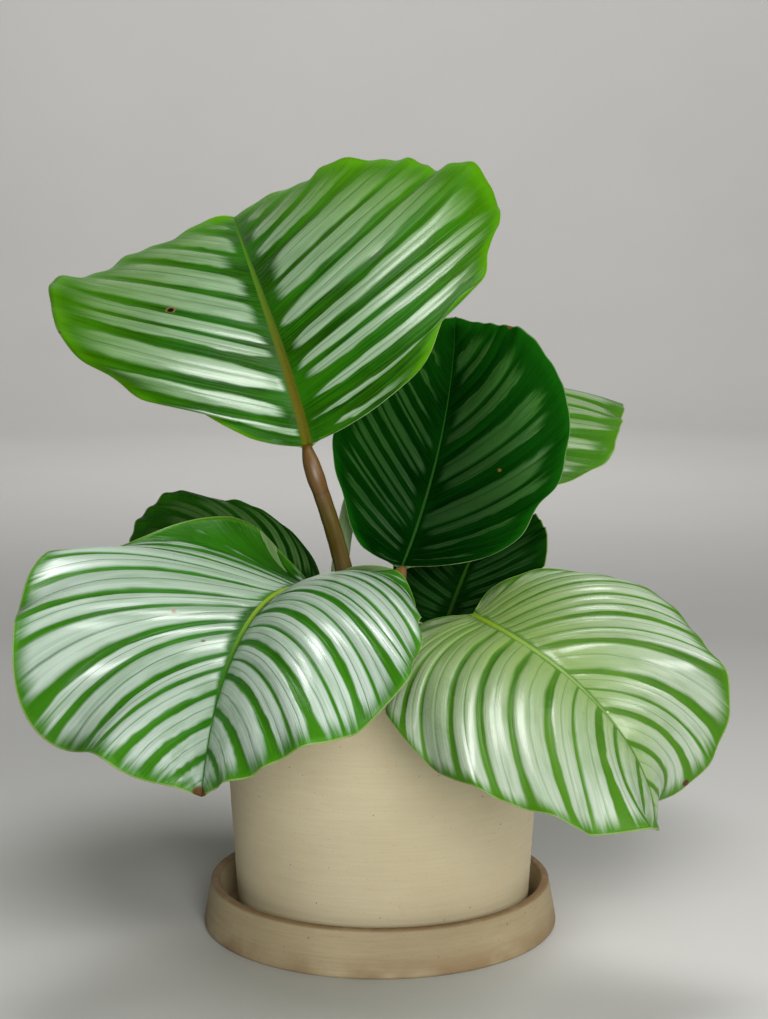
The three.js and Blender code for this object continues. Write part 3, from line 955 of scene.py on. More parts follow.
@dataclass
class Leaf:
    """A blade on its stem. Lengths are in millimetres, and bands are counted from stripe to stripe."""

    sizes: LeafSizes
    rows: int = 220
    columns: int = 34
    row_power: float = 1.3
    column_power: float = 1.15
    thickness: float = 0.55
    edge_thickness: float = 0.3
    edge_round: float = 0.12
    pleat: float = 1.5
    pleat_lean: float = 0.07
    pleat_power: float = 0.85
    pleat_middle: float = 0.6
    vein_depth: float = 0.22
    vein_width: float = 0.05
    rib_height: float = 0.9
    rib_depth: float = 2.2
    rib_tip_width: float = 0.9
    rib_base_width: float = 3.5
    tip_length: float = 0.04
    tip_sharpness: float = 0.16
    lobe_reach: float = 0.5
    vein_bow: float = 0.15
    rib_power: float = 1.6
    growth_spread: float = 0.75
    first_band: int = 10
    outer_band: float = 0.08
    wave_reach: float = 3.0
    ripple_reach: float = 4.0
    flutter: float = 0.8
    flutter_reach: float = 8.0
    flutters: float = 2.7
    fold_reach: float = 1.6
    fold_count: float = 10.5
    gain_reach: float = 12.0
    foot_radius: float = 5.4
    neck_radius: float = 3.8
    joint_length: float = 22.0
    joint_swell: float = 0.6
    joint_close: float = 0.35
    stem_depth: float = 26.0
    foot_height: float = 4.0
    blade_gap: float = 2.6
    stem_rings: int = 110
    stem_sides: int = 28

    def directions(self, share: np.ndarray) -> tuple[np.ndarray, np.ndarray, np.ndarray]:
        """The leaf's own directions at shares of its length.

        The midrib's direction is (cos pitch cos heading, cos pitch sin heading, sin pitch), where
        pitch, heading and roll change from base to tip. The other two lie square to it, turned by roll.

        Args:
            share: Shares of the length, from 0 at the base to 1 at the tip.

        Returns:
            The directions along the midrib, to its right and out of its face.
        """
        leaf = self.sizes
        u = np.clip(share, 0, 1)
        pitch = np.radians(leaf.pitch - leaf.droop * u ** leaf.droop_power)
        heading = np.radians(leaf.heading + leaf.sweep * u)
        roll = np.radians(leaf.roll + leaf.twist * u)[..., None]
        flat, rise = np.cos(pitch), np.sin(pitch)
        right, back = np.cos(heading), np.sin(heading)
        along = np.stack([flat * right, flat * back, rise], -1)
        level = np.stack([-rise * right, -rise * back, flat], -1)
        flat_side = np.cross(along, level)
        side = flat_side * np.cos(roll) + level * np.sin(roll)
        face = level * np.cos(roll) - flat_side * np.sin(roll)
        return along, side, face

    def midrib(self, share: np.ndarray) -> np.ndarray:
        """Points of the midrib: its direction added up from the base, and straight on behind it.

        Args:
            share: Shares of the length.

        Returns:
            The points.
        """
        leaf = self.sizes
        steps = 240
        middles = (np.arange(steps) + 0.5) / steps
        moves = self.directions(middles)[0] * (leaf.length / steps)
        path = np.array(leaf.base) + np.concatenate([np.zeros((1, 3)), np.cumsum(moves, 0)])
        inside = np.clip(share, 0, 1)
        ends = np.linspace(0, 1, steps + 1)
        points = np.stack([np.interp(inside, ends, path[:, i]) for i in range(3)], -1)
        beyond = ((share - inside) * leaf.length)[..., None]
        return points + self.directions(share)[0] * beyond

    def margin_growth(self, half: Half, angle: np.ndarray) -> np.ndarray:
        """How far the margin stands outside its ellipse, as a share of its distance from the middle.

        The half's own numbers, in percent, stand at even steps of the angle from base to tip, with 0
        at both ends, and a bell curve spreads each one over its neighbours.

        Args:
            half: The half of the blade.
            angle: Angles round the margin, from 0 at the base to pi at the tip.

        Returns:
            The shares.
        """
        count = len(half.margin)
        total = np.zeros_like(angle)
        for number, growth in enumerate(half.margin, start=1):
            steps = angle / math.pi * (count + 1) - number
            total = total + growth * 0.01 * np.exp(-((steps / self.growth_spread) ** 2))
        return total * np.clip(np.sin(angle) * 3, 0, 1)

    def flat_place(self, half: Half, s: np.ndarray, t: np.ndarray) -> tuple[np.ndarray, np.ndarray]:
        """Where share t of vein s lies on the flattened leaf.

        The margin is an ellipse round the leaf's middle, pulled back into a lobe at the base and drawn
        out to a point at the tip. Each vein is a curve from the midrib to the margin that leaves the
        midrib steeply and bends outwards.

        Args:
            half: The half of the blade.
            s: Veins, from 0 at the base to 1 at the tip.
            t: Shares of each vein, from 0 at the midrib to 1 at the margin.

        Returns:
            Distances out from the midrib and along it.
        """
        leaf = self.sizes
        angle = math.pi * s ** leaf.vein_spread
        edge_x = half.width * np.sin(angle) * (1 + half.skew * np.cos(angle))
        lobe = half.lobe * np.sin(angle) * np.exp(-angle / self.lobe_reach)
        point = self.tip_length * np.exp(-(math.pi - angle) / self.tip_sharpness)
        edge_y = leaf.length / (1 + self.tip_length) * ((1 - np.cos(angle)) / 2 - lobe + point)
        grown = 1 + self.margin_growth(half, angle)
        edge_x = edge_x * grown
        edge_y = leaf.length / 2 + (edge_y - leaf.length / 2) * grown
        start_y = leaf.length * s ** self.rib_power
        run = edge_y - start_y
        bend_x = edge_x / 2 + self.vein_bow * run
        bend_y = start_y + run / 2 - self.vein_bow * edge_x
        x = 2 * t * (1 - t) * bend_x + t * t * edge_x
        y = (1 - t) ** 2 * start_y + 2 * t * (1 - t) * bend_y + t * t * edge_y
        return x, y

    def bands(self, half: Half, s: np.ndarray) -> tuple[np.ndarray, np.ndarray]:
        """Band numbers of the veins, which are whole on the green stripes and even in between.

        The first stripe has the number first_band. Before it and after the last one, a band is
        outer_band wide, as a share of all the veins.

        Args:
            half: The half of the blade.
            s: Veins, from 0 at the base to 1 at the tip.

        Returns:
            The band numbers, and half the width of the nearest stripe in bands.
        """
        places, widths = (np.array(column) for column in zip(*half.stripes))
        numbers = np.arange(len(places)) + float(self.first_band)
        first = numbers[0] - places[0] / self.outer_band
        last = numbers[-1] + (1 - places[-1]) / self.outer_band
        ends = np.concatenate([[first], numbers, [last]])
        veins = np.concatenate([[0], places, [1]])
        band = np.interp(s, veins, ends)
        slopes = np.diff(ends) / np.diff(veins)
        slope = slopes[np.clip(np.searchsorted(veins, s) - 1, 0, len(slopes) - 1)]
        nearest = np.clip(np.round(band) - self.first_band, 0, len(places) - 1).astype(int)
        return band, widths[nearest] * slope

    def relief(self, hand: int, s: np.ndarray, t: np.ndarray, band: np.ndarray) -> np.ndarray:
        """How far the blade stands out of its smooth form.

        Long waves, short ripples, a fine flutter and the small folds at the tip are sines of the vein's
        number times a power of t, so they grow towards the margin. Between two stripes the blade swells
        in a pleat, a power of a leaning sine, and a narrow bell curve sinks a groove along the dark
        vein. All of it fades out at the base and the tip.

        Args:
            hand: 1 on the right half and -1 on the left.
            s: Veins, as a column.
            t: Shares of each vein, as a row.
            band: The veins' band numbers.

        Returns:
            Heights in millimetres.
        """
        leaf = self.sizes
        half = leaf.right if hand > 0 else leaf.left
        turn = 2 * math.pi
        wave_turn = turn * half.waves * s + math.radians(half.phase)
        ripple_turn = turn * half.ripples * s + math.radians(half.ripple_phase)
        flutter_turn = turn * self.flutters * half.ripples * s + half.width
        lift = half.lift * t ** self.wave_reach * np.sin(wave_turn)
        lift = lift + half.ripple * t ** self.ripple_reach * np.sin(ripple_turn)
        lift = lift + self.flutter * t ** self.flutter_reach * np.sin(flutter_turn)
        folds = leaf.tip_folds * smooth_step(0.55, 0.8, s) * t ** self.fold_reach
        lift = lift + folds * np.sin(turn * self.fold_count * s + hand)
        swell = smooth_step(0, 0.12, t) * smooth_step(1.05, 0.7, t)
        lean = band + self.pleat_lean * np.sin(turn * band)
        crest = np.abs(np.sin(math.pi * lean)) ** self.pleat_power - self.pleat_middle
        off_vein = np.abs(band % 1 - leaf.finish.vein_at)
        groove = -self.vein_depth * np.exp(-(off_vein / self.vein_width) ** 2)
        groove = groove * smooth_step(0.05, 0.15, t) * smooth_step(1, 0.8, t)
        ends = np.sqrt(np.clip(np.sin(math.pi * s), 0, 1))
        return (lift + self.pleat * crest * swell + groove) * ends

    def half_surface(self, hand: int, s: np.ndarray, t: np.ndarray) -> dict[str, np.ndarray]:
        """The upper face of one half, with what its materials need to know.

        Across the midrib a half rises by its fold and bends down by its arch along part of a circle.
        The midrib's ridge is a bell curve of the distance from it, lower and narrower at the tip.

        Args:
            hand: 1 on the right half and -1 on the left.
            s: Veins, as a column.
            t: Shares of each vein, as a row.

        Returns:
            The points, the directions out of the face, the midrib's share and the marks.
        """
        leaf = self.sizes
        half = leaf.right if hand > 0 else leaf.left
        x, y = self.flat_place(half, s, t)
        share = y / leaf.length
        _, side, face = self.directions(share)
        fold = math.radians(half.fold)
        bend = math.radians(half.arch) / half.width
        slope = fold - bend * x
        across = (math.sin(fold) - np.sin(slope)) / bend
        above = (np.cos(slope) - math.cos(fold)) / bend
        band, stripe = self.bands(half, s)
        seen = smooth_step(*leaf.finish.rib_ends(), share)
        rib_width = (self.rib_base_width - self.rib_tip_width) * (1 - share) + self.rib_tip_width
        rib = np.exp(-(x / rib_width) ** 2) * np.clip(1.15 - share, 0, 1) * seen
        lift = self.relief(hand, s, t, band) + self.rib_height * rib
        normal = face * np.cos(slope)[..., None] - side * (hand * np.sin(slope))[..., None]
        points = self.midrib(share) + side * (hand * across)[..., None] + face * above[..., None]
        points = points + normal * lift[..., None]
        steps = np.hypot(np.diff(x, axis=1), np.diff(y, axis=1))
        from_rib = np.concatenate([np.zeros((len(s), 1)), np.cumsum(steps, 1)], 1)
        from_margin = from_rib[:, -1:] - from_rib
        vein_place = np.stack([band + 0 * t, t + 0 * s, share], -1)
        stripe_place = self.stripe_marks(hand, band + 0 * t, stripe, from_rib, from_margin, seen)
        return {"points": points, "normal": normal, "rib": rib, "vein_place": vein_place,
                "stripe_place": stripe_place, "from_rib": x, "from_margin": from_margin}

    def stripe_marks(self, hand: int, band: np.ndarray, stripe: np.ndarray, from_rib: np.ndarray,
                     from_margin: np.ndarray, seen: np.ndarray) -> np.ndarray:
        """The width of each stripe, and how far from midrib and margin the silver next to it ends.

        The finish's gains widen a stripe near the midrib and the margin, and die away with the
        distance. Each band's two distances are drawn at random round the finish's own.

        Args:
            hand: 1 on the right half and -1 on the left.
            band: Band numbers.
            stripe: Half the width of the nearest green stripe.
            from_rib: Distances from the midrib along the vein.
            from_margin: Distances from the margin along the vein.
            seen: Fades from 1 to 0 where the midrib's own colour ends.

        Returns:
            The width and the two distances, as triples.
        """
        finish = self.sizes.finish
        gain = finish.rib_gain * np.exp(-from_rib / self.gain_reach)
        width = stripe * (1 + gain + finish.margin_gain * np.exp(-from_margin / self.gain_reach))
        rng = np.random.default_rng(int(finish.seed * 10) + hand)
        starts, ends = rng.uniform(0.4, 1.6, (2, 40)) * [[finish.start], [finish.end]]
        cell = np.floor(band).astype(int)
        return np.stack([width, starts[cell] * seen, ends[cell]], -1)

    def blade(self) -> bpy.types.Object:
        """The blade as one closed sheet.

        Each row follows one vein out to both margins: over the upper face, round the edge, and back
        along the lower face. The rows close in one point at the base and one at the tip. The lower face
        lies under the upper one by a thickness that is least at the margin and most at the midrib.

        Returns:
            The blade.
        """
        leaf = self.sizes
        middle = self.columns
        s = np.linspace(0, 1, self.rows + 1)[1:-1, None] ** self.row_power
        t = np.linspace(0, 1, middle + 1)[None, :] ** self.column_power
        left, right = (self.half_surface(hand, s, t) for hand in (-1, 1))
        whole = {key: np.concatenate([left[key][:, ::-1], right[key][:, 1:]], 1) for key in left}
        upper, normal, margin = whole["points"], whole["normal"], whole["from_margin"]
        normal[:, middle] = self.directions(whole["vein_place"][:, middle, 2])[2]
        thick = self.edge_thickness
        thick = thick + (self.thickness - self.edge_thickness) * smooth_step(0, 6, margin)
        thick = thick + (self.rib_depth + self.rib_height) * whole["rib"]
        lower = upper - normal * thick[..., None]
        edges = []
        for last, before in ((-1, -2), (0, 1)):
            outward = upper[:, last] - upper[:, before]
            outward = self.edge_round * outward / np.linalg.norm(outward, axis=-1, keepdims=True)
            edges.append(0.5 * (upper[:, last] + lower[:, last]) + outward)
        loop = np.concatenate([upper, edges[0][:, None], lower[:, ::-1], edges[1][:, None]], 1)
        rings, around = loop.shape[:2]
        poles = np.concatenate([np.array([leaf.base]), self.midrib(np.array([1.0]))])
        points = np.concatenate([loop.reshape(-1, 3), poles])
        flag = np.zeros_like(margin)
        sides = {name: (whole[name], whole[name]) for name in ("vein_place", "stripe_place")}
        sides["edge_place"] = tuple(np.stack([whole["from_rib"], margin, flag + under], -1)
                                    for under in (0, 1))
        marks = {}
        for name, (top, under) in sides.items():
            mark = np.concatenate([top, top[:, -1:], under[:, ::-1], top[:, :1]], 1)
            marks[name] = np.concatenate([mark.reshape(-1, 3), mark[[0, -1], middle]])
        faces = ring_faces(rings, around) + cap_faces(rings, around)
        return make_object(f"blade_{leaf.name}", points, faces, marks, POT_OFFSET)

    def stem_path(self) -> tuple[np.ndarray, np.ndarray]:
        """The stem's middle line: straight up out of the soil, then a curve to the base of the leaf.

        The curve is a cubic with its first handle upwards and its last against the midrib's start, and
        the line then runs on under the midrib.

        Returns:
            The points, evenly spaced, and for each the length that is left up to the leaf's base.
        """
        leaf = self.sizes
        along, _, face = (d[0] for d in self.directions(np.array([0.0])))
        foot = np.array([*leaf.foot, SOIL_TOP_Z + self.foot_height])
        end = np.array(leaf.base) - face * self.blade_gap
        height = end[2] - foot[2]
        first = foot + np.array([0, 0, height * leaf.rise])
        last = end - along * height * leaf.run
        q = np.linspace(0, 1, 160)[:, None]
        p = 1 - q
        curve = p ** 3 * foot + 3 * q * p ** 2 * first + 3 * q * q * p * last + q ** 3 * end
        below = foot - np.array([0, 0, 1]) * np.linspace(self.stem_depth, 0.5, 24)[:, None]
        share = np.linspace(0, 1, 40)[1:] * min(0.12, 18 / leaf.length)
        _, _, faces = self.directions(share)
        under = self.midrib(share) - faces * (self.blade_gap + 12 * share[:, None])
        line = np.concatenate([below, curve, under])
        run = np.concatenate([[0], np.cumsum(np.linalg.norm(np.diff(line, axis=0), axis=1))])
        base_run = run[len(below) + len(curve) - 1]
        even = np.linspace(0, run[-1], self.stem_rings)
        points = np.stack([np.interp(even, run, line[:, i]) for i in range(3)], -1)
        return points, base_run - even

    def stem(self) -> bpy.types.Object:
        """The stem: a round profile carried along its path, with a swollen joint under the leaf.

        The profile's two directions are square to the path, found from the level line that lies square
        to the leaf's heading, which the path never runs along. The radius narrows from foot to neck,
        swells in the joint and closes under the midrib.

        Returns:
            The stem.
        """
        leaf = self.sizes
        points, left = self.stem_path()
        tangent = np.gradient(points, axis=0)
        tangent /= np.linalg.norm(tangent, axis=1, keepdims=True)
        turn = math.radians(leaf.heading)
        level = np.array([-math.sin(turn), math.cos(turn), 0])
        first = level - tangent * (tangent @ level)[:, None]
        first /= np.linalg.norm(first, axis=1, keepdims=True)
        second = np.cross(tangent, first)
        span = left[0]
        grown = np.clip(1 - left / (span - self.stem_depth), 0, 1)
        radius = self.foot_radius + (self.neck_radius - self.foot_radius) * np.sqrt(grown)
        joint = np.clip(1 - left / self.joint_length, 0, 1)
        radius = radius + self.joint_swell * np.sin(math.pi * joint)
        beyond = np.clip(-left / -left[-1], 0, 1)
        closing = np.sqrt(np.clip(1 - beyond ** 2, 0.02, 1))
        radius = radius * (1 - self.joint_close * joint ** 3) * closing
        angle = np.linspace(0, 2 * math.pi, self.stem_sides, endpoint=False)
        height = points[:, 2:3]
        lumps = 1 + 0.02 * np.sin(3 * angle[None] + height * 0.11) + 0.012 * np.sin(height * 0.7)
        reach = (radius[:, None] * lumps)[..., None]
        cosine, sine = np.cos(angle)[:, None], np.sin(angle)[:, None]
        ring = points[:, None] + reach * (cosine * first[:, None] + sine * second[:, None])
        poles = np.stack([points[0], points[-1] + tangent[-1] * 0.3])
        rings, around = ring.shape[:2]
        faces = ring_faces(rings, around) + cap_faces(rings, around)
        marks = np.stack(np.broadcast_arrays(grown[:, None], angle / (2 * math.pi), left[:, None]), -1)
        ends = np.array([[0, 0, left[0]], [1, 0, left[-1]]])
        marks = np.concatenate([marks.reshape(-1, 3), ends])
        all_points = np.concatenate([ring.reshape(-1, 3), poles])
        return make_object(f"stem_{leaf.name}", all_points, faces, {"stem_place": marks}, POT_OFFSET)

    def build(self, patterns: Patterns, stems: dict[StemTint, bpy.types.Material]) -> None:
        """Makes and dresses the blade and the stem.

        Args:
            patterns: The shared node groups.
            stems: The stems' materials.
        """
        leaf = self.sizes
        skin = leaf.finish.material(f"blade_{leaf.name}", patterns)
        dress(self.blade(), skin, "blade", f"leaf_{leaf.name}")
        dress(self.stem(), stems[leaf.tint], "petiole", f"petiole_{leaf.name}")


# The seven leaves, with the values of their plain solids
LEAVES = (
    LeafSizes(
        name="upper_left", base=(-36, -29, 243), heading=109, sweep=-12, pitch=55, droop=44.3,
        droop_power=0.5, roll=13, twist=3.4, length=257, vein_spread=0.62,
        left=Half(
            107, fold=14.3, arch=24.2, lobe=-0.08, skew=-0.14, waves=1.4, lift=9, phase=252, ripples=4.3,
            ripple=2.5, ripple_phase=34,
            margin=(2.4, -1.5, -7.3, 0.2, -4, 1.1, 0, -1.6, -0.2, 2.1, -0.5, -2.3, -0.8, -0.7),
            stripes=(
                (0.054, 0.0149), (0.142, 0.0149), (0.244, 0.0191), (0.36, 0.0202), (0.427, 0.0064),
                (0.488, 0.0149), (0.588, 0.0106), (0.688, 0.0149), (0.773, 0.0108), (0.876, 0.0159),
                (0.942, 0.0127))),
        right=Half(
            131, fold=24, arch=33.6, lobe=-0.1, skew=-0.2, waves=3.3, lift=4, phase=-90, ripples=6.2,
            ripple=2.5, ripple_phase=162,
            margin=(-0.9, 2.4, 4.1, -2.1, 5.1, -0.7, 2.4, 2.3, 0.6, -6, -1.9, -1.3, -9, 4.1),
            stripes=(
                (0.046, 0.0248), (0.11, 0.0212), (0.183, 0.0224), (0.256, 0.0218), (0.32, 0.0074),
                (0.374, 0.0149), (0.444, 0.0181), (0.532, 0.0159), (0.616, 0.0081), (0.708, 0.0159),
                (0.785, 0.0127), (0.86, 0.0149), (0.936, 0.0127))),
        foot=(-13, -14), rise=0.5, run=0.2, tint=StemTint.OLIVE,
        # The near silver is partly the leaf's own and partly painted sheen, lighter near the midrib and
        # the base.
        finish=BladeFinish(
            seed=1.3, silver=linear(148, 174, 142), silver_far=linear(98, 142, 56),
            green=linear(18, 82, 4), deep=linear(4, 46, 2), border=linear(76, 138, 8),
            rib=linear(84, 82, 12), rib_far=linear(70, 116, 24), rim=linear(142, 160, 84), rib_gain=1.1,
            margin_gain=0.2, rib_width=3.3, start=6, end=7, feather=10, border_width=16, fade=32,
            vein_strength=0.45, gloss=0.04, sheen=0.55,
            blemishes=(
                # Painted shade: the near-black disc inside this brown ring stands for a hole through the
                # blade.
                Blemish((-107, 50, 304), 3.4, linear(120, 96, 60)),
                Blemish((-107, 50, 304), 2.3, linear(14, 8, 5)),
                Blemish((-162.4, 37.6, 293.4), 2.2, linear(110, 74, 40)),
                Blemish((47.9, 74.6, 353.3), 1.0, linear(96, 60, 34))))),
    LeafSizes(
        name="middle_right", base=(10, 14, 178), heading=63, sweep=24, pitch=46, droop=0, droop_power=1,
        roll=-26.2, twist=28.1, length=166, vein_spread=0.57,
        left=Half(
            57, fold=29.7, arch=20.4, waves=2.8, lift=1.5, phase=-28, ripples=4.6, ripple=1.8,
            ripple_phase=-28,
            margin=(-4.4, 2.6, 2.1, 0.2, 1.7, 2.1, 0.1, -0.2, -0.1, 0, 0, 0, 0, 0),
            stripes=(
                (0.079, 0.027), (0.147, 0.0095), (0.208, 0.0203), (0.243, 0.0054), (0.276, 0.0149),
                (0.322, 0.0054), (0.368, 0.0135), (0.424, 0.0175), (0.471, 0.0054), (0.529, 0.0216),
                (0.568, 0.0054), (0.612, 0.0162), (0.676, 0.027), (0.764, 0.0324), (0.882, 0.0405))),
        right=Half(
            70, fold=27.9, arch=28, lobe=0, skew=0.05, waves=2.2, lift=5.5, phase=-84, ripple=1.2,
            ripple_phase=6,
            margin=(-2.1, 0.3, 1.8, 2.3, -5, 0.9, -2.6, -0.5, -0.2, 0.9, -0.6, -1.8, -1.8, -0.9),
            stripes=(
                (0.047, 0.0351), (0.117, 0.0243), (0.195, 0.027), (0.268, 0.0067), (0.38, 0.0297),
                (0.46, 0.0067), (0.56, 0.0297), (0.64, 0.0067), (0.734, 0.0351), (0.814, 0.0095),
                (0.912, 0.0351))),
        foot=(4, 0), rise=0.5, run=0.3, tint=StemTint.REDDISH,
        # These colours are partly the leaf's own dark green and partly painted shade from the leaf above;
        # the near silver is darkest, as painted shadow on the lower blade.
        finish=BladeFinish(
            seed=2.7, silver=linear(36, 66, 32), silver_far=linear(54, 100, 38), green=linear(4, 38, 4),
            deep=linear(1, 20, 2), border=linear(16, 76, 8), rib=linear(40, 80, 28),
            rib_far=linear(30, 78, 22), rim=linear(110, 138, 90), rib_gain=0.3, margin_gain=0.8,
            rib_width=1.4, start=4.5, end=9, feather=10, border_width=10, vein_strength=0.3,
            roughness=0.38, gloss=0.0, sheen=0.06,
            blemishes=(
                Blemish((69.8, 98.4, 293.5), 2.3, linear(112, 70, 40)),
                Blemish((61.1, 40.1, 222.9), 1.2, linear(104, 84, 34))))),
    LeafSizes(
        name="front_left", base=(-34, -37, 175), heading=-112, sweep=10, pitch=12, droop=81.8,
        droop_power=1.2, roll=-3.7, twist=-21.3, length=167, vein_spread=0.56,
        left=Half(
            92, fold=28.7, arch=87.9, lobe=0.32, skew=-0.2, waves=2.6, lift=5.7, phase=80.4, ripples=4.4,
            ripple=5.2, ripple_phase=60.3,
            margin=(-9, -9, 1.1, 0.4, -0.1, -0.6, -6.7, -1.2, -3.9, 0.3, 2.4, 2.7, 1.1, 2.5),
            stripes=(
                (0.05, 0.036), (0.12, 0.026), (0.18, 0.019), (0.25, 0.011), (0.33, 0.0075),
                (0.408, 0.009), (0.448, 0.003), (0.488, 0.009), (0.532, 0.003), (0.58, 0.0097),
                (0.633, 0.0037), (0.688, 0.0105), (0.733, 0.0037), (0.776, 0.0097), (0.852, 0.0105),
                (0.924, 0.009))),
        right=Half(
            94, fold=22.3, arch=-19.9, lobe=0.7, skew=-0.2, waves=2.25, lift=20.2, phase=79.6,
            ripples=4.2, ripple=12, ripple_phase=14.1,
            margin=(-1.8, -4.9, 6.8, 0.7, 2.6, 4, 2.9, 3.8, 0.5, 2.7, 5.8, -0.2, 0, 3.9),
            stripes=(
                (0.046, 0.032), (0.092, 0.023), (0.136, 0.022), (0.191, 0.015), (0.248, 0.0075),
                (0.316, 0.0037), (0.376, 0.0067), (0.475, 0.0097), (0.524, 0.0045), (0.596, 0.009),
                (0.636, 0.006), (0.712, 0.009), (0.752, 0.006), (0.809, 0.009), (0.871, 0.0105),
                (0.933, 0.009))),
        foot=(-10, -30), rise=0.7, run=0.3, tip_folds=1.7, tint=StemTint.REDDISH,
        finish=BladeFinish(
            seed=4.1, silver=linear(152, 174, 150), silver_far=linear(184, 200, 186),
            green=linear(38, 106, 10), deep=linear(14, 66, 4), border=linear(64, 126, 18),
            rib=linear(150, 172, 26), rib_far=linear(84, 138, 36), rib_gain=-0.3, rib_width=3.2,
            rib_reach=0.72, margin_gain=0.2, sheen=0.7, start=3.2, end=0, feather=5, border_width=3.5,
            fade=11,
            blemishes=(
                Blemish((-91.2, -105, 177.2), 1.4, linear(150, 96, 70)),
                Blemish((-75.2, -168.5, 111.4), 4.5, linear(92, 64, 34)),
                Blemish((-77.1, -119.8, 166.8), 1.3, linear(96, 100, 70))))),
    LeafSizes(
        name="front_right", base=(43.6, -35.4, 161.8), heading=-84, sweep=79, pitch=4.4, droop=91.3,
        droop_power=1.6, roll=-26.1, twist=15.4, length=171, vein_spread=0.57,
        left=Half(
            64, fold=14.9, arch=-0.2, lobe=0.6, skew=-0.18, waves=1.5, lift=17.4, phase=138.6,
            ripples=4.2, ripple=2.5, ripple_phase=21.2,
            margin=(0.8, -5.9, -9, -5.1, -2.9, -0.2, 0.3, 2, 1.5, -7.2, -1.5, 3.6, 5.1, 3.7),
            stripes=(
                (0.062, 0.0072), (0.145, 0.005), (0.217, 0.0065), (0.289, 0.0065), (0.372, 0.0065),
                (0.416, 0.0029), (0.456, 0.0072), (0.507, 0.0029), (0.556, 0.0094), (0.656, 0.0108),
                (0.709, 0.0036), (0.764, 0.0094), (0.84, 0.0086), (0.916, 0.0086))),
        right=Half(
            83, fold=16.4, arch=47.7, lobe=0.56, skew=-0.31, waves=3.9, lift=3.6, phase=88.9, ripples=5.1,
            ripple=5.4, ripple_phase=37.8,
            margin=(2.4, 3.1, -9, -6.8, -4.7, -2, -2.7, -3.2, -4.5, -4.2, -3.1, 3.6, -0.5, -2.7),
            stripes=(
                (0.048, 0.0065), (0.105, 0.005), (0.163, 0.0072), (0.215, 0.005), (0.268, 0.0072),
                (0.318, 0.0043), (0.408, 0.0086), (0.486, 0.0094), (0.56, 0.0072), (0.644, 0.0094),
                (0.7, 0.0036), (0.76, 0.0108), (0.805, 0.0065), (0.876, 0.0094), (0.948, 0.0072))),
        foot=(20, -18), rise=0.6, run=0.3, tint=StemTint.GREEN,
        finish=BladeFinish(
            seed=5.9, silver=linear(126, 154, 74), silver_far=linear(174, 188, 168),
            green=linear(84, 124, 42), deep=linear(58, 102, 26), border=linear(66, 120, 14),
            rib=linear(126, 154, 26), rib_far=linear(132, 160, 100), rib_gain=-0.3, rib_width=1.7,
            rib_reach=0.75, sheen=0.65, margin_gain=0.3, start=1.2, end=0.4, feather=5, border_width=4,
            fade=9, vein_strength=0.4,
            blemishes=(
                Blemish((137.4, -105.4, 98.9), 2.2, linear(74, 50, 26)),
                Blemish((100, -123.4, 135.9), 0.7, linear(186, 194, 170))))),
    LeafSizes(
        name="back_right", base=(-7, 86, 226), heading=47.7, sweep=0, pitch=35.6, droop=94.1,
        droop_power=1.5, roll=-22.6, twist=31.3, length=185, vein_spread=0.58,
        left=Half(45, arch=30),
        right=Half(
            101.9, fold=6.4, arch=33.5, skew=0.15, lift=5, phase=180,
            margin=(0, 0, -0.2, -0.8, -2.2, 0.4, 4.9, 1, -0.1, 0.5, 0.6, 0, 0, 0)),
        foot=(-24, 34), rise=0.7, run=0.15, tint=StemTint.PALE,
        finish=BladeFinish(
            seed=7.7, silver=linear(126, 150, 104), silver_far=linear(132, 156, 110),
            green=linear(58, 108, 20), deep=linear(34, 84, 12), border=linear(66, 118, 18),
            rib=linear(150, 172, 90), end=5)),
    LeafSizes(
        name="back_left", base=(-33, 19, 165), heading=178, sweep=0, pitch=18, droop=50, droop_power=1,
        roll=25, twist=0, length=100, vein_spread=0.58,
        left=Half(36, fold=0, arch=40),
        right=Half(54, fold=35, arch=30, lobe=0.1, skew=-0.6),
        foot=(-24, 10), rise=0.6, run=0.2, tint=StemTint.GREEN,
        # These colours are partly the leaf's own and partly painted shade, for a leaf lying in the shade
        # behind the front leaves.
        finish=BladeFinish(
            seed=8.8, silver=linear(76, 112, 58), silver_far=linear(66, 104, 46), green=linear(18, 66, 8),
            deep=linear(8, 44, 5), border=linear(38, 94, 10), sheen=0.35, start=4, end=9)),
    LeafSizes(
        name="back_low", base=(33, 28, 147), heading=66, sweep=0, pitch=44, droop=16, droop_power=1,
        roll=-6, twist=0, length=92, vein_spread=0.58,
        left=Half(40, fold=15, lobe=0.5, lift=2),
        right=Half(40, fold=15, lobe=0.5, lift=2),
        foot=(20, 16), rise=0.5, run=0.2, tint=StemTint.REDDISH,
        # These colours are painted shade: the blade's colours made much darker for a leaf in the shade of
        # the leaves in front.
        finish=BladeFinish(
            seed=10.2, silver=linear(36, 72, 30), silver_far=linear(30, 66, 24), green=linear(8, 42, 6),
            deep=linear(4, 26, 4), border=linear(14, 54, 8), rib=linear(36, 66, 18), gloss=0.0,
            sheen=0.12, start=4, end=8)),
)


# Pot, saucer and soil


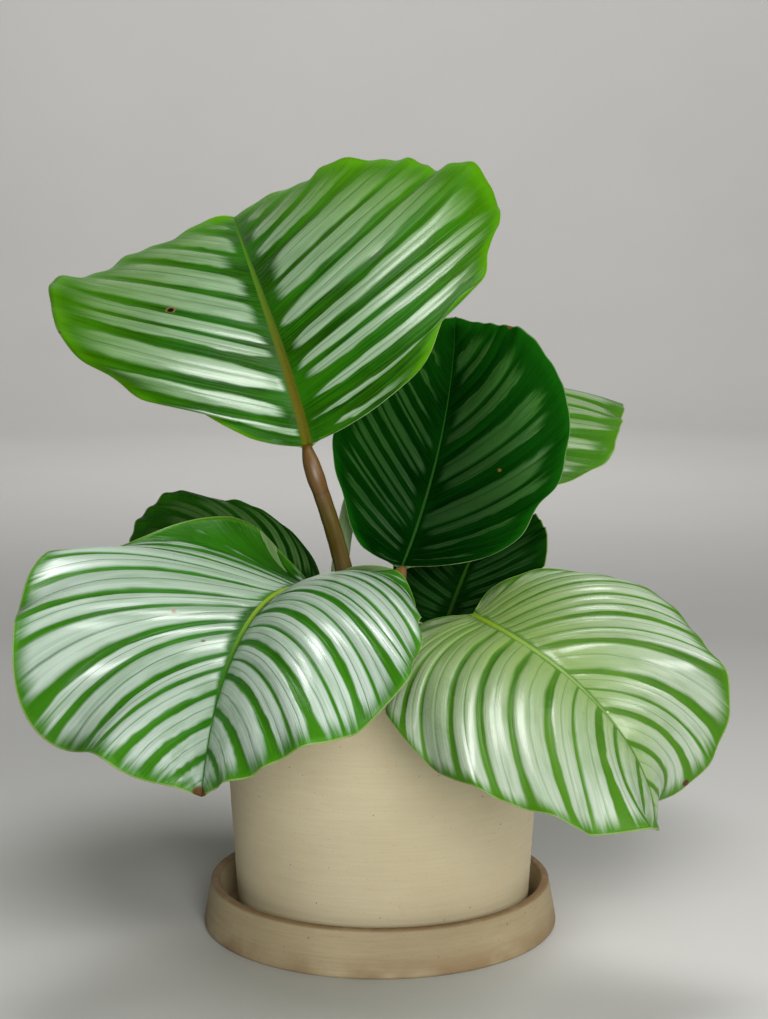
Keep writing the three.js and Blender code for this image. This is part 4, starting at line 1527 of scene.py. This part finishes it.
@dataclass
class Saucer:
    """The low saucer, whose wall leans in towards its rim."""

    base_radius: float = 88.5
    rim_outer_radius: float = 85.0
    rim_inner_radius: float = 80.5
    height: float = 23.0
    floor: float = SAUCER_FLOOR
    inner_floor_radius: float = 76.5
    edge_round: float = 1.6
    corner_round: float = 2.6
    turning_height: float = 0.16
    segments: int = 240

    def build(self, patterns: Patterns) -> None:
        """Turns the saucer's profile and dresses it.

        The profile is a chain of straight lines and rounds: under the foot, up the wall, over the rim,
        and down to the floor inside. A sine of the height adds turning lines to the outer wall.

        Args:
            patterns: The shared node groups.
        """
        r = self.edge_round
        foot = rounded((self.base_radius - r, r), r, -90, 5)
        lip_out = rounded((self.rim_outer_radius - r, self.height - r), r, 5, 90)
        lip_in = rounded((self.rim_inner_radius + r, self.height - r), r, 90, 178)
        bend = self.corner_round
        corner = rounded((self.inner_floor_radius - 2.2, self.floor + bend), bend, -8, -90)
        profile = np.concatenate([
            [[0, 0]], straight((0, 0), foot[0], 5), foot,
            straight(foot[-1], lip_out[0], 14), lip_out, lip_in,
            straight(lip_in[-1], corner[0], 8), corner,
            straight(corner[-1], (0, self.floor), 12), [[0, self.floor]]])
        height = profile[:, 1]
        wall = smooth_step(3, 6, height) * smooth_step(22, 19, height) * (profile[:, 0] > 82)
        profile[:, 0] += wall * self.turning_height * np.sin(height * 1.5)
        piece = turned_surface("saucer_turned", profile, self.segments, False)
        finish = StonewareFinish(
            clay=linear(178, 162, 128), shade=linear(146, 130, 98), stain=linear(118, 84, 46),
            rim_heights=(21.2, 22.6), foot_heights=(1.0, 14.0), line_strength=0.8)
        dress(piece, finish.material("stoneware_saucer", patterns), "saucer_stoneware", "saucer")


@dataclass
class Pot:
    """The tapered pot, with a rounded rim and a drain hole."""

    top_radius: float = 80.5
    base_radius: float = 72.8
    height: float = POT_HEIGHT
    wall: float = 6.0
    floor: float = 8.0
    drain_radius: float = 7.0
    edge_round: float = 2.0
    turning_height: float = 0.07
    segments: int = 256

    def outer(self, height: float) -> float:
        """Outer radius at a height above the pot's base."""
        return self.base_radius + (self.top_radius - self.base_radius) * height / self.height

    def build(self, patterns: Patterns) -> None:
        """Turns the pot's profile and dresses it.

        The profile is a closed chain of straight lines and rounds: from the drain hole out to the foot,
        up the wall, over the rim and down inside to the floor. Three sines of the height add faint
        turning lines to its walls.

        Args:
            patterns: The shared node groups.
        """
        r = self.edge_round
        top, inner_top = self.height, self.top_radius - self.wall
        foot = rounded((self.base_radius - r, r), r, -90, -3)
        lip_out = rounded((self.top_radius - r, top - r), r, -3, 90)
        lip_in = rounded((inner_top + r, top - r), r, 90, 177)
        inner_foot = (self.outer(self.floor) - self.wall, self.floor)
        profile = np.concatenate([
            [[self.drain_radius, 0]], straight((self.drain_radius, 0), foot[0], 6), foot,
            straight(foot[-1], lip_out[0], 90), lip_out, lip_in,
            straight(lip_in[-1], inner_foot, 40), [inner_foot],
            straight(inner_foot, (self.drain_radius, self.floor), 6), [[self.drain_radius, self.floor]]])
        height = profile[:, 1]
        on_wall = smooth_step(3, 8, height) * smooth_step(top - 3, top - 8, height)
        turning = np.sin(height * 1.9) + 0.6 * np.sin(height * 3.7 + 1) + 0.5 * np.sin(height * 0.6)
        profile[:, 0] += on_wall * self.turning_height * turning
        profile[:, 1] += POT_BASE_Z
        piece = turned_surface("pot_turned", profile, self.segments, True, POT_OFFSET)
        finish = StonewareFinish(
            clay=linear(206, 194, 162), shade=linear(188, 174, 140), stain=linear(160, 126, 80),
            rim_heights=(POT_BASE_Z + top - 2.5, POT_BASE_Z + top),
            foot_heights=(POT_BASE_Z, POT_BASE_Z + 20))
        dress(piece, finish.material("stoneware_pot", patterns), "pot_stoneware", "pot")


@dataclass
class Soil:
    """The soil in the pot: a lumpy crown with loose crumbs and a few pale grains on it."""

    radius: float = 73.2
    crown: float = 3.0
    rings: int = 90
    segments: int = 240
    side_depth: float = 8.0
    crumbs: int = 620
    pale_share: float = 0.06
    seed: int = 11

    def heights(self, x: np.ndarray, y: np.ndarray) -> np.ndarray:
        """Height over the soil's edge: a low crown, and lumps of three sizes that are less near the wall.

        Args:
            x: Distances right of the pot's middle.
            y: Distances behind it.

        Returns:
            The heights.
        """
        place = np.stack([x, y], -1)
        share = np.clip(np.hypot(x, y) / self.radius, 0, 1)
        lumps = 0.9 * soft_noise(place, 26, 1) + 0.5 * soft_noise(place, 9, 2)
        lumps = lumps + 0.35 * soft_noise(place, 3.4, 3)
        return self.crown * (1 - share ** 2) * 0.8 + lumps * (0.35 + 0.65 * (1 - share)) - 0.4

    def surface(self) -> tuple[np.ndarray, list[np.ndarray]]:
        """The soil's body: rings from the foot of its side up to the edge, then in to the middle.

        Returns:
            The points and the faces.
        """
        angle = np.linspace(0, 2 * math.pi, self.segments, endpoint=False)[None]
        radius = self.radius * np.linspace(0, 1, self.rings + 1)[1:, None]
        x, y = radius * np.cos(angle), radius * np.sin(angle)
        z = SOIL_TOP_Z + self.heights(x, y)
        top = np.stack([x, y, z], -1)[::-1]
        low = SOIL_TOP_Z - self.side_depth
        side = np.stack([x[-1:], y[-1:], np.full_like(x[-1:], low)], -1)
        rings = np.concatenate([side, top])
        middle = self.heights(np.zeros(1), np.zeros(1))[0]
        poles = np.array([[0, 0, low], [0, 0, SOIL_TOP_Z + middle]])
        faces = ring_faces(len(rings), self.segments) + cap_faces(len(rings), self.segments)
        return np.concatenate([rings.reshape(-1, 3), poles]), faces

    def crumb_shape(self) -> tuple[np.ndarray, np.ndarray]:
        """A ball of 42 points and 80 faces: an icosahedron with each face cut in four.

        Any three corners that are near enough to one another make a face. The middles of a face's sides
        are pushed out to the ball, and each middle is shared by the two faces next to it.

        Returns:
            The points, all 1 from the middle, and three corners a face.
        """
        golden = (1 + math.sqrt(5)) / 2
        ends = [(-1, golden, 0), (1, golden, 0), (-1, -golden, 0), (1, -golden, 0)]
        corners = [tuple(np.roll(e, k)) for k in range(3) for e in ends]
        points = [np.array(c) / math.hypot(1, golden) for c in corners]
        order = [(a, b, c) for a in range(12) for b in range(a + 1, 12) for c in range(b + 1, 12)]
        neighbours = 1.2
        faces = []
        for a, b, c in order:
            sides = [np.linalg.norm(points[i] - points[j]) for i, j in ((a, b), (b, c), (c, a))]
            if max(sides) < neighbours:
                out = np.dot(np.cross(points[b] - points[a], points[c] - points[a]), points[a])
                faces.append((a, b, c) if out > 0 else (a, c, b))
        middles: dict[tuple[int, int], int] = {}
        split = []
        for a, b, c in faces:
            cut = []
            for i, j in ((a, b), (b, c), (c, a)):
                key = (min(i, j), max(i, j))
                if key not in middles:
                    middle = points[i] + points[j]
                    middles[key] = len(points)
                    points.append(middle / np.linalg.norm(middle))
                cut.append(middles[key])
            split += [(a, cut[0], cut[2]), (cut[0], b, cut[1]), (cut[2], cut[1], c), tuple(cut)]
        return np.array(points), np.array(split)

    def build(self, patterns: Patterns) -> None:
        """Makes the soil with its crumbs as one piece and dresses it.

        Each crumb is the ball with its points moved in or out, stretched along its three directions,
        turned at random and partly sunk into the surface. The crumbs lie evenly over the soil.

        Args:
            patterns: The shared node groups.
        """
        rng = np.random.default_rng(self.seed)
        body, faces = self.surface()
        ball, ball_faces = self.crumb_shape()
        count = self.crumbs
        reach = (self.radius - 4) * np.sqrt(rng.uniform(0, 1, count))
        turn = rng.uniform(0, 2 * math.pi, count)
        x, y = reach * np.cos(turn), reach * np.sin(turn)
        size = 0.8 + 2.0 * rng.uniform(0, 1, count) ** 2.2
        stretch = rng.uniform(0.65, 1.25, (count, 1, 3))
        lumpy = 1 + 0.3 * rng.uniform(-1, 1, (count, len(ball), 1))
        turned = np.linalg.qr(rng.normal(size=(count, 3, 3)))[0]
        turned *= np.sign(np.linalg.det(turned))[:, None, None]
        shape = ball[None] * lumpy * stretch * size[:, None, None]
        shape = np.einsum("nij,nkj->nki", turned, shape)
        centre = np.stack([x, y, SOIL_TOP_Z + self.heights(x, y) + size * 0.35], -1)
        crumbs = (shape + centre[:, None]).reshape(-1, 3)
        offsets = len(body) + np.arange(count)[:, None, None] * len(ball)
        crumb_faces = (ball_faces[None] + offsets).reshape(-1, 3)
        pale = rng.uniform(0, 1, count) < self.pale_share
        tint = rng.uniform(0, 1, count)
        marks = np.zeros((len(body) + len(crumbs), 3))
        marks[len(body):, 0] = np.repeat(tint, len(ball))
        marks[len(body):, 1] = np.repeat(pale, len(ball))
        points = np.concatenate([body, crumbs])
        piece = make_object("soil_surface", points, [*faces, crumb_faces], {"crumb": marks}, POT_OFFSET)
        dress(piece, SoilFinish().material("soil_crumb", patterns), "soil", "soil")


# Studio


@dataclass
class Studio:
    """A pale floor that curves up all round, soft lights, and the camera at the picture's angle.

    Lengths are in metres, save for the lens and the sensor, which are in millimetres.
    """

    floor_radius: float = 2.6
    wall_height: float = 2.4
    curve: float = 1.0
    camera_place: tuple[float, float, float] = (0.002, -1.0, 0.347)
    camera_pitch: float = 7.9
    lens: float = 72.4
    sensor_width: float = 36.0
    sky_strength: float = 0.06

    def stage(self, patterns: Patterns) -> None:
        """The floor and the wall round it, as one turned sheet, with a quarter of a circle between them.

        Args:
            patterns: The shared node groups.
        """
        angle = np.linspace(0, 2 * math.pi, 128, endpoint=False)[None]
        bend = np.radians(np.linspace(-90, 0, 17))
        edge = self.floor_radius + self.curve
        radius = np.concatenate([np.linspace(0.05, self.floor_radius, 12),
                                 self.floor_radius + self.curve * np.cos(bend), [edge]])
        height = np.concatenate([np.zeros(12), self.curve * (1 + np.sin(bend)), [self.wall_height]])
        x, y = radius[:, None] * np.cos(angle), radius[:, None] * np.sin(angle)
        sheet = np.stack([x, y, height[:, None] + 0 * angle], -1)[::-1] / MM
        rings = len(sheet)
        faces = ring_faces(rings, angle.size)
        point = np.arange(angle.size)
        last = (rings - 1) * angle.size
        middle = np.full(angle.size, rings * angle.size)
        faces.append(np.stack([middle, last + point, last + (point + 1) % angle.size], -1))
        points = np.concatenate([sheet.reshape(-1, 3), [[0, 0, 0]]])
        floor = make_object("studio_floor", points, faces)
        floor.data.materials.append(FloorFinish().material("pale_floor", patterns))

    def light(self, name: str, place: tuple[float, float, float], aim: tuple[float, float, float],
              size: float, power: float) -> None:
        """Adds a soft white square light.

        Args:
            name: The light's name.
            place: Where it stands, in metres.
            aim: What it points at, in metres.
            size: Length of its sides, in metres.
            power: Its power, in watts.
        """
        data = bpy.data.lights.new(name, "AREA")
        data.size = size
        data.energy = power
        lamp = bpy.data.objects.new(name, data)
        bpy.context.scene.collection.objects.link(lamp)
        way = np.array(aim) - np.array(place)
        tilt = math.atan2(math.hypot(way[0], way[1]), -way[2])
        lamp.location = place
        lamp.rotation_euler = (tilt, 0, math.atan2(way[1], way[0]) - math.pi / 2)

    def build(self, patterns: Patterns) -> None:
        """Makes the stage, the lights, the background light and the camera.

        Args:
            patterns: The shared node groups.
        """
        self.stage(patterns)
        self.light("overhead", (-0.05, 0.12, 1.3), (-0.02, 0, 0.2), 0.4, 8.0)
        self.light("right", (0.8, -0.5, 0.85), (0, 0, 0.18), 0.45, 5.5)
        self.light("front", (0.22, -1.4, 0.5), (0, 0, 0.15), 0.5, 14.0)
        self.light("backdrop", (0, 1.4, 1.7), (0, 3.4, 0.9), 1.2, 34.0)
        world = bpy.data.worlds.new("studio")
        bpy.context.scene.world = world
        world.use_nodes = True
        sky = world.node_tree.nodes["Background"]
        sky.inputs[0].default_value = (0.95, 0.97, 1.0, 1.0)
        sky.inputs[1].default_value = self.sky_strength
        bpy.context.scene.view_settings.view_transform = "Standard"
        data = bpy.data.cameras.new("camera")
        data.lens = self.lens
        data.sensor_width = self.sensor_width
        camera = bpy.data.objects.new("camera", data)
        camera.location = self.camera_place
        camera.rotation_euler = (math.radians(90 - self.camera_pitch), 0, 0)
        bpy.context.scene.collection.objects.link(camera)
        bpy.context.scene.camera = camera


def main() -> None:
    """Builds every piece of the plant, then the studio."""
    logging.basicConfig(level=logging.INFO, format="%(name)s %(message)s")
    patterns = Patterns(stripe_pattern(), speckle_pattern(), cloud_pattern())
    stems = {tint: StemFinish(tint).material(f"stem_{tint.name.lower()}", patterns)
             for tint in StemTint}
    for thing in (Saucer(), Pot(), Soil()):
        thing.build(patterns)
    for sizes in LEAVES:
        Leaf(sizes).build(patterns, stems)
    Studio().build(patterns)


if __name__ == "__main__":
    main()
